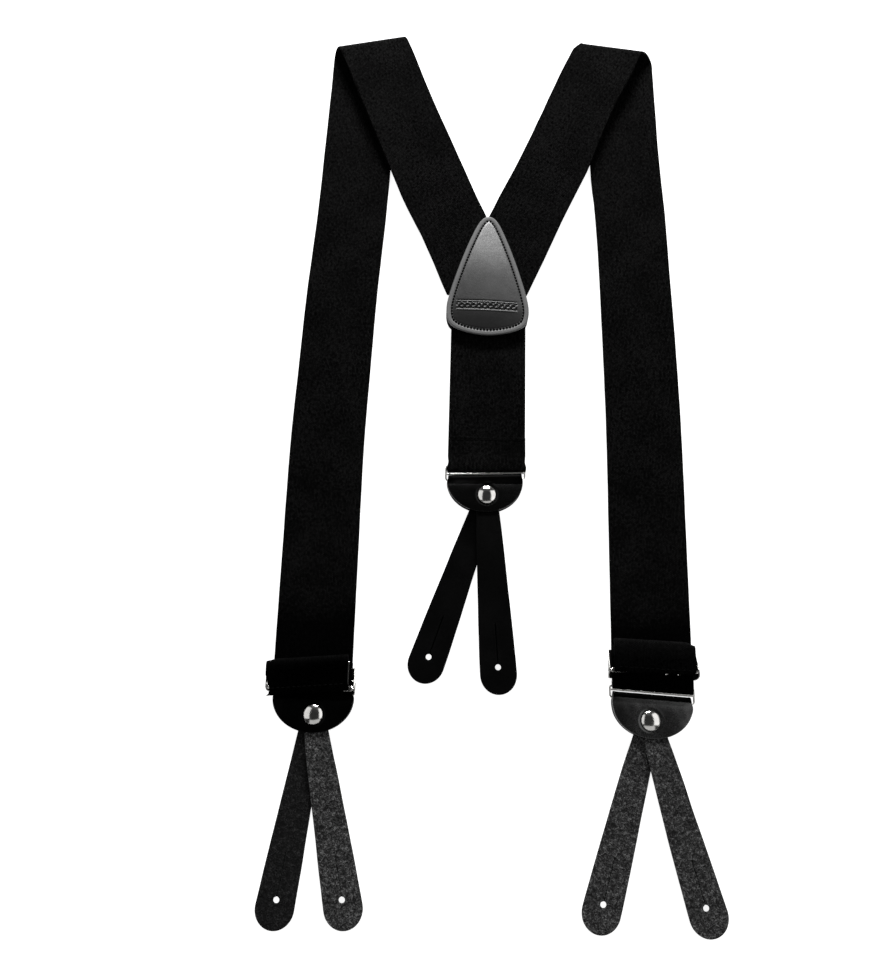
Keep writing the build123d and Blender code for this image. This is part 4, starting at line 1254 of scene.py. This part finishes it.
# ------------------------------------------------------------------ tabs
def tab(name, which, L, swing, hole_s, z0, z1, mat, slot, slit=True, seed=0.0):
    cx, cy = L["cx"] + L["sets"][2], L["by"] - L["rivet"]
    a = math.radians(swing)
    dx, dy = math.sin(a), -math.cos(a)
    px, py = -dy, dx
    end_s = hole_s + 4.6
    R = 11.75
    neck, growth = 14.6, 0.0815
    edge = [(-3.4, 4.6), (-2.0, 5.9), (0.8, 6.9), (4.5, neck / 2 + 0.02), (13, neck / 2 + 0.35), (36, (neck + 36 * growth) / 2 + 0.15), (60, (neck + 60 * growth) / 2 + 0.1), (85, (neck + 85 * growth) / 2 + 0.1), (end_s - 6, R - 0.12)]
    rnd = [(end_s + R * 1.07 * math.sin(t), R * math.cos(t)) for t in [math.pi * i / 22 for i in range(0, 23)]]
    left = catmull(edge, 6)
    pts = [(s, w) for s, w in left] + rnd + [(s, -w) for s, w in left[::-1]] + [(-4.6, 2.6), (-5.0, 0), (-4.6, -2.6)][::-1]
    loop = np.array(pts)
    w = np.array([noise.noise(Vector((s / 16.0, np.sign(q) * 3.0, seed))) for s, q in loop])
    loop[:, 1] *= 1 + 0.012 * w
    loop, _ = resample(loop, 1.0, closed=True)
    rivet = np.array([(2.1 * math.cos(t), 2.1 * math.sin(t)) for t in np.linspace(0, 2 * math.pi, 25)[:-1]])
    hole = np.array([(hole_s + 1.85 * math.cos(t), 1.85 * math.sin(t)) for t in np.linspace(0, 2 * math.pi, 37)[:-1]])
    sl0, sl1 = hole_s - 27.8, hole_s - 1.2
    extra = []
    for off in (0.0, 0.18, 0.42, 0.75, 1.2, 1.8):
        for s in np.arange(sl0 - 1.5, hole_s - 3.4, 0.8):
            extra += [(s, off), (s, -off)] if off else [(s, 0.0)]
    mesh2d = flat_mesh(loop, [rivet, hole], 1.55, rings=(0.1, 0.3, 0.6, 1.0), extra=extra, seed=int(seed) + 2)

    def mid(s, w_):
        f = smooth((s - 11.5) / 25.0) if which == "lower" else smooth((s - 24.0) / 52.0)
        z = z0 + (z1 - z0) * f
        lift = smooth((s - 55) / 40.0) * (0.15 if which == "lower" else 1.0)
        wave = np.array([noise.noise(Vector((k / 34.0, 0.3, seed))) for k in np.atleast_1d(s)])
        wv = np.array([noise.noise(Vector((k / 40.0, 7.3, seed))) for k in np.atleast_1d(s)])
        z = z + lift * (0.28 + 0.35 * np.abs(wave) + 0.30 * wv * w_ / 10.0 + 0.22 * (w_ / 11.0) ** 2)
        return z

    def go(v):
        s, w_ = v[:, 0], v[:, 1]
        z = mid(s, w_)
        x = cx + dx * s + px * w_
        y = cy + dy * s + py * w_
        dz = (mid(s + 0.5, w_) - mid(s - 0.5, w_))
        N = np.column_stack([-dx * dz, -dy * dz, np.ones(len(v))])
        N /= np.linalg.norm(N, axis=1, keepdims=True)
        return np.column_stack([x, y, z]), N

    rough = "rough" in slot

    def relief(v, d):
        s, w_ = v[:, 0], v[:, 1]
        on = smooth((s - sl0) / 1.0) * (1 - smooth((s - sl1) / 0.6))
        cut = -1.15 * np.exp(-(np.abs(w_) / 0.27) ** 2) * on
        lips = 0.13 * bump(np.abs(w_), 0.85, 0.4) * on
        hr = np.hypot(s - hole_s, w_)
        rim = 0.10 * bump(hr, 3.2, 0.55)
        rng = np.array([noise.noise(Vector((a * 1.3, b * 1.3, seed))) + 0.6 * noise.noise(Vector((a * 2.9, b * 2.9, seed + 4))) for a, b in v])
        amp = 0.085 if rough else 0.02
        far = smooth((s - 13.5) / 2.0)
        return cut + (lips + rim + amp * rng * smooth(d / 0.3)) * far

    ob = sheet_piece(f"{name}_{which}_tab_leather", mesh2d, go, 1.5, mat, top_extra=relief, edge_r=0.4, wall=0.5)
    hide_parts(f"{name}_tab_{which}")
    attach(ob, f"{name}_{which}_tab")
    return float(np.ptp(loop[:, 1])), float(np.ptp(loop[:, 0]))


# ------------------------------------------------------------------ metal
def link_wire(name, L):
    cx, by = L["cx"] + L["sets"][0], L["by"]
    x0, x1 = cx - LINK_HALF, cx + LINK_HALF
    y0, y1 = by, by + TOP_BAR
    rc = 1.3
    pts = []
    for (ax, ay, a0) in ((x1 - rc, y1 - rc, 0), (x0 + rc, y1 - rc, 90), (x0 + rc, y0 + rc, 180), (x1 - rc, y0 + rc, 270)):
        for i in range(7):
            a = math.radians(a0 + 90 * i / 6)
            pts.append((ax + rc * math.cos(a), ay + rc * math.sin(a), BAR_Z))
    loop, _ = resample(np.array(pts), 1.4, closed=True)
    parts = [tube_mesh(loop, WIRE_R, closed=True, sides=16)]
    xs = np.linspace(x0 + 0.1, x1 - 0.1, 40)
    bar = [(x, by + MID_BAR + L.get("bar_shift", 0.0), BAR_Z + 0.75) for x in xs]
    tp = [1.25 - 0.25 * min(1, i / 2) if i < 3 else (1.25 - 0.25 * min(1, (39 - i) / 2) if i > 36 else 1.0) for i in range(40)]
    parts.append(tube_mesh(bar, WIRE_R * 0.98, sides=16, taper=tp))
    v, f = merge(parts)
    v[:, 1] += math.tan(math.radians(L["lean"])) * (v[:, 0] - cx) * np.clip((y1 - 0.8 - v[:, 1]) / 2.6, 0, 1)
    ob = new_object(f"{name}_link_wire", v, f, material=M_WIRE)
    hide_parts(f"{name}_link_ring")
    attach(ob, f"{name}_link")


def adjuster(side):
    L = SIDES[side]
    cx = L["cx"] + L["adj_dx"] + (0.1 if side == "left" else 0.5)
    fy = L["flap_y"]
    half = 26.7 if side == "left" else 27.5
    out = half - 27.6
    # bent strip: up one ear, across under the strap, up the other
    prof = [(-half - 0.25, 9.2), (-half - 0.45, 7.6), (-half - 0.35, 5.2), (-half, 2.6), (-half, 1.5)]
    for i in range(1, 7):
        a = math.radians(180 + 90 * i / 6)
        prof.append((-half + 1.1 + 1.1 * math.cos(a), 1.5 + 1.1 * math.sin(a)))
    prof += [(-20, 0.4), (-10, 0.4), (0, 0.4)]
    prof = prof + [(-x, z) for x, z in prof[::-1][1:]]
    dense = np.array(prof, float)
    seg = np.linalg.norm(np.diff(dense, axis=0), axis=1)
    s = np.concatenate([[0], np.cumsum(seg)])
    tot = s[-1]
    s_of = lambda x: float(np.interp(x, dense[:, 0], s))
    short = 2.3 if side == "left" else 0.0
    y_lo, y_hi = fy - 24.0 + short, fy - 6.0
    e = 9.2 - 1.5
    ear = [(0.0, fy - 20.6), (0.0, fy - 17.8), (1.2, fy - 16.3), (4.0, fy - 12.2), (6.4, fy - 8.0), (7.6, y_hi + 0.0), (9.4, y_hi)]
    ear_l = [(1.2, fy - 21.9 + 0.5 * short), (4.2, fy - 23.3 + 0.8 * short), (6.2, y_lo + 0.1), (8.4, y_lo)]
    left = [(u, y) for u, y in ear_l[::-1]] + ear
    loop = [(u, y) for u, y in left] + [(tot - u, y) for u, y in left[::-1]]
    loop, _ = resample(np.array(loop, float), 0.9, closed=True)
    holes = []
    up_z = s_of(-half - 0.45)
    s_piv = float(np.interp(-7.7, -dense[:5, 1], s[:5]))
    for sp in (s_piv, tot - s_piv):
        holes.append(np.array([(sp + 1.0 * math.cos(a), fy - 19.2 + 1.0 * math.sin(a)) for a in np.linspace(0, 2 * math.pi, 19)[:-1]]))
    slot = []
    for i in range(25):
        a = math.radians(-90 + 180 * i / 24)
        slot.append((tot / 2 + 14.5 + 2.5 * math.cos(a), fy - 13 + 2.5 * math.sin(a)))
    for i in range(25):
        a = math.radians(90 + 180 * i / 24)
        slot.append((tot / 2 - 14.5 + 2.5 * math.cos(a), fy - 13 + 2.5 * math.sin(a)))
    holes.append(np.array(slot))
    mesh2d = flat_mesh(loop, holes, 1.6, rings=(0.12, 0.35), seed=6)

    def go(v):
        x = np.interp(v[:, 0], s, dense[:, 0])
        z = np.interp(v[:, 0], s, dense[:, 1])
        k = 0.3
        tx = np.interp(v[:, 0] + k, s, dense[:, 0]) - np.interp(v[:, 0] - k, s, dense[:, 0])
        tz = np.interp(v[:, 0] + k, s, dense[:, 1]) - np.interp(v[:, 0] - k, s, dense[:, 1])
        n = np.hypot(tx, tz)
        N = np.column_stack([-tz / n, np.zeros(len(v)), tx / n])
        # ears flare at the lower end, so that they catch the light as a curved cheek
        earm = smooth((z - 2.5) / 4.0)
        bow = earm * 0.45 * smooth((fy - 15 - v[:, 1]) / 9.0)
        x = x + np.sign(x) * bow
        return np.column_stack([cx + x, v[:, 1], z]), N

    ob = sheet_piece(f"{side}_adjuster_metal", mesh2d, go, 0.8, M_ADJ, edge_r=0.25, wall=0.35)
    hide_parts(f"{side}_adjuster_plate")
    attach(ob, f"{side}_adjuster")
    # hinged bar with its row of teeth, inside the wrapped end
    parts = []
    outline = [(-23.5, -2.1), (23.5, -2.1), (23.5, -17.6), (26.9 + out, -17.6), (26.9 + out, -20.5), (-26.9 - out, -20.5), (-26.9 - out, -17.6), (-23.5, -17.6)]
    lp = np.array([(cx + x, fy + y) for x, y in outline[::-1]], float)
    lp, _ = resample(lp, 1.2, closed=True)
    m2 = flat_mesh(lp, [], 2.2, rings=(0.15, 0.4), seed=7)
    v2, tri, loops, d2 = m2
    h = 0.45 * (0.6 + 0.4 * np.sqrt(1 - (1 - np.clip(d2 / 0.3, 0, 1)) ** 2))
    n = len(v2)
    top = np.column_stack([v2, 7.7 + h])
    bot = np.column_stack([v2, 7.7 - h])
    faces = [tuple(int(i) for i in t_) for t_ in tri] + [tuple(int(i) + n for i in t_[::-1]) for t_ in tri]
    for l0 in loops:
        for i in range(len(l0)):
            a_, b_ = l0[i], l0[(i + 1) % len(l0)]
            faces.append((b_, a_, a_ + n, b_ + n))
    parts.append((np.vstack([top, bot]), faces))
    for i in range(7):
        x = cx + 0.2 + (i - 3) * 7.8
        rings_ = []
        # each tooth turns down from the bar's lower edge and tapers to a blunt point
        # the wrapped end covers most of the row, only two points reach past its edge
        tuck = 0.0 if side == "right" and i in (4, 5) else 0.85
        for yv, zc, hw, hh in ((-19.9, 7.75, 1.15, 0.40), (-20.7, 7.72, 1.05, 0.42), (-21.15, 7.35, 0.95, 0.40), (-21.3, 6.75, 0.75, 0.30), (-21.25, 6.25, 0.45, 0.2)):
            ring_ = []
            for k in range(10):
                a = 2 * math.pi * k / 10
                ring_.append((x + hw * math.cos(a), fy + yv + tuck + (hh * 0.55 * math.sin(a) if zc < 7.5 else 0), zc + (hh * math.sin(a) if zc >= 7.5 else 0)))
            rings_.append(ring_)
        vv = np.array([p for r_ in rings_ for p in r_])
        ff = []
        for a_ in range(len(rings_) - 1):
            for k in range(10):
                l_ = (k + 1) % 10
                ff.append((a_ * 10 + k, a_ * 10 + l_, (a_ + 1) * 10 + l_, (a_ + 1) * 10 + k))
        ff += [tuple(range(10)), tuple((len(rings_) - 1) * 10 + k for k in range(10))]
        parts.append((vv, ff))
    for sx in (-1, 1):
        xs = np.linspace(26.7 + out, 28.1 + out, 6)
        parts.append(tube_mesh([(cx + sx * x, fy - 19.2, 7.7) for x in xs], 0.92, sides=16, taper=[1, 1, 1, 1, 0.95, 0.7]))
    v, f = merge(parts)
    tb = new_object(f"{side}_toothed_metal", v, f, material=M_NICKEL, sharp=40)
    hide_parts(f"{side}_toothed_bar")
    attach(tb, f"{side}_toothed_bar")


# ------------------------------------------------------------------ build
for side in ("left", "right"):
    adjuster(side)
    link_wire(side, SIDES[side])
link_wire("back", BACK)
facts = {}
for side in ("left", "right"):
    facts[side + "_webbing"] = front_strap(side)[1]
    facts[side + "_return"] = return_band(side)[1]
    facts[side + "_flap"] = end_flap(side)[1]
facts["back_webbing"] = back_strap()[1]
facts["yoke"] = yoke()
for name, L, mats, slots in (
    # the left lower tab takes the painted-shade copy of the suede
    ("left", SIDES["left"], (M_SUEDE_SHADED, M_SUEDE), "tab_leather_rough"),
    ("right", SIDES["right"], (M_SUEDE_MID, M_SUEDE_MID), "tab_leather_rough"),
    ("back", BACK, (M_SMOOTH, M_SMOOTH), "tab_leather_smooth"),
):
    # each end takes its own gloss copy of the leather: painted highlight on the right, painted shade on the left
    facts[name + "_leather"] = end_leather(name, L, {"left": M_END_SHADED_COPY, "right": M_END, "back": M_END_BACK}[name])
    rivets(name, L)
    a, b, h = L["tabs"]
    facts[name + "_tab"] = tab(name, "lower", L, a, h, 3.25, 0.76, mats[0], slots, seed=L["seed"] + 1)
    tab(name, "upper", L, b, h, 4.85, 2.6, mats[1], slots, seed=L["seed"] + 2)
print("FLAT SIZES", {k: (round(v, 1) if np.isscalar(v) else [round(float(x), 1) for x in v]) for k, v in facts.items()})

# ------------------------------------------------------------------ floor and light
fl = bpy.data.meshes.new("floor")
fl.from_pydata([(-6, -6, -0.00012), (6, -6, -0.00012), (6, 6, -0.00012), (-6, 6, -0.00012)], [], [(0, 1, 2, 3)])
floor = bpy.data.objects.new("floor", fl)
scene.collection.objects.link(floor)
k = Net("floor_white")
k.b.inputs["Base Color"].default_value = (0.6, 0.6, 0.6, 1)
k.b.inputs["Roughness"].default_value = 0.9
k.b.inputs["Specular IOR Level"].default_value = 0.0
k.b.inputs["Emission Color"].default_value = (1, 1, 1, 1)
k.b.inputs["Emission Strength"].default_value = 0.9
fl.materials.append(k.mat)

world = bpy.data.worlds.new("studio")
world.use_nodes = True
bg = world.node_tree.nodes["Background"]
bg.inputs[0].default_value = (1, 1, 1, 1)
bg.inputs[1].default_value = 0.03
scene.world = world


def area_light(name, loc, aim, size, size_y, power):
    d = bpy.data.lights.new(name, "AREA")
    d.shape = "RECTANGLE"
    d.size, d.size_y = size, size_y
    d.energy = power
    o = bpy.data.objects.new(name, d)
    scene.collection.objects.link(o)
    o.location = loc
    o.rotation_euler = (Vector(aim) - Vector(loc)).to_track_quat("-Z", "Y").to_euler()
    return o


area_light("top", (0.0, 1.45, 0.68), (0.0, 0.05, 0), 0.7, 0.3, 44.0)
area_light("right", (1.0, 0.12, 0.9), (0.0, 0.0, 0), 1.7, 0.95, 6.0)
area_light("left", (-1.0, 0.12, 0.9), (0.0, 0.0, 0), 1.7, 0.95, 4.6)
area_light("front", (0.1, -1.15, 0.8), (0.0, -0.1, 0), 1.6, 0.9, 2.6)
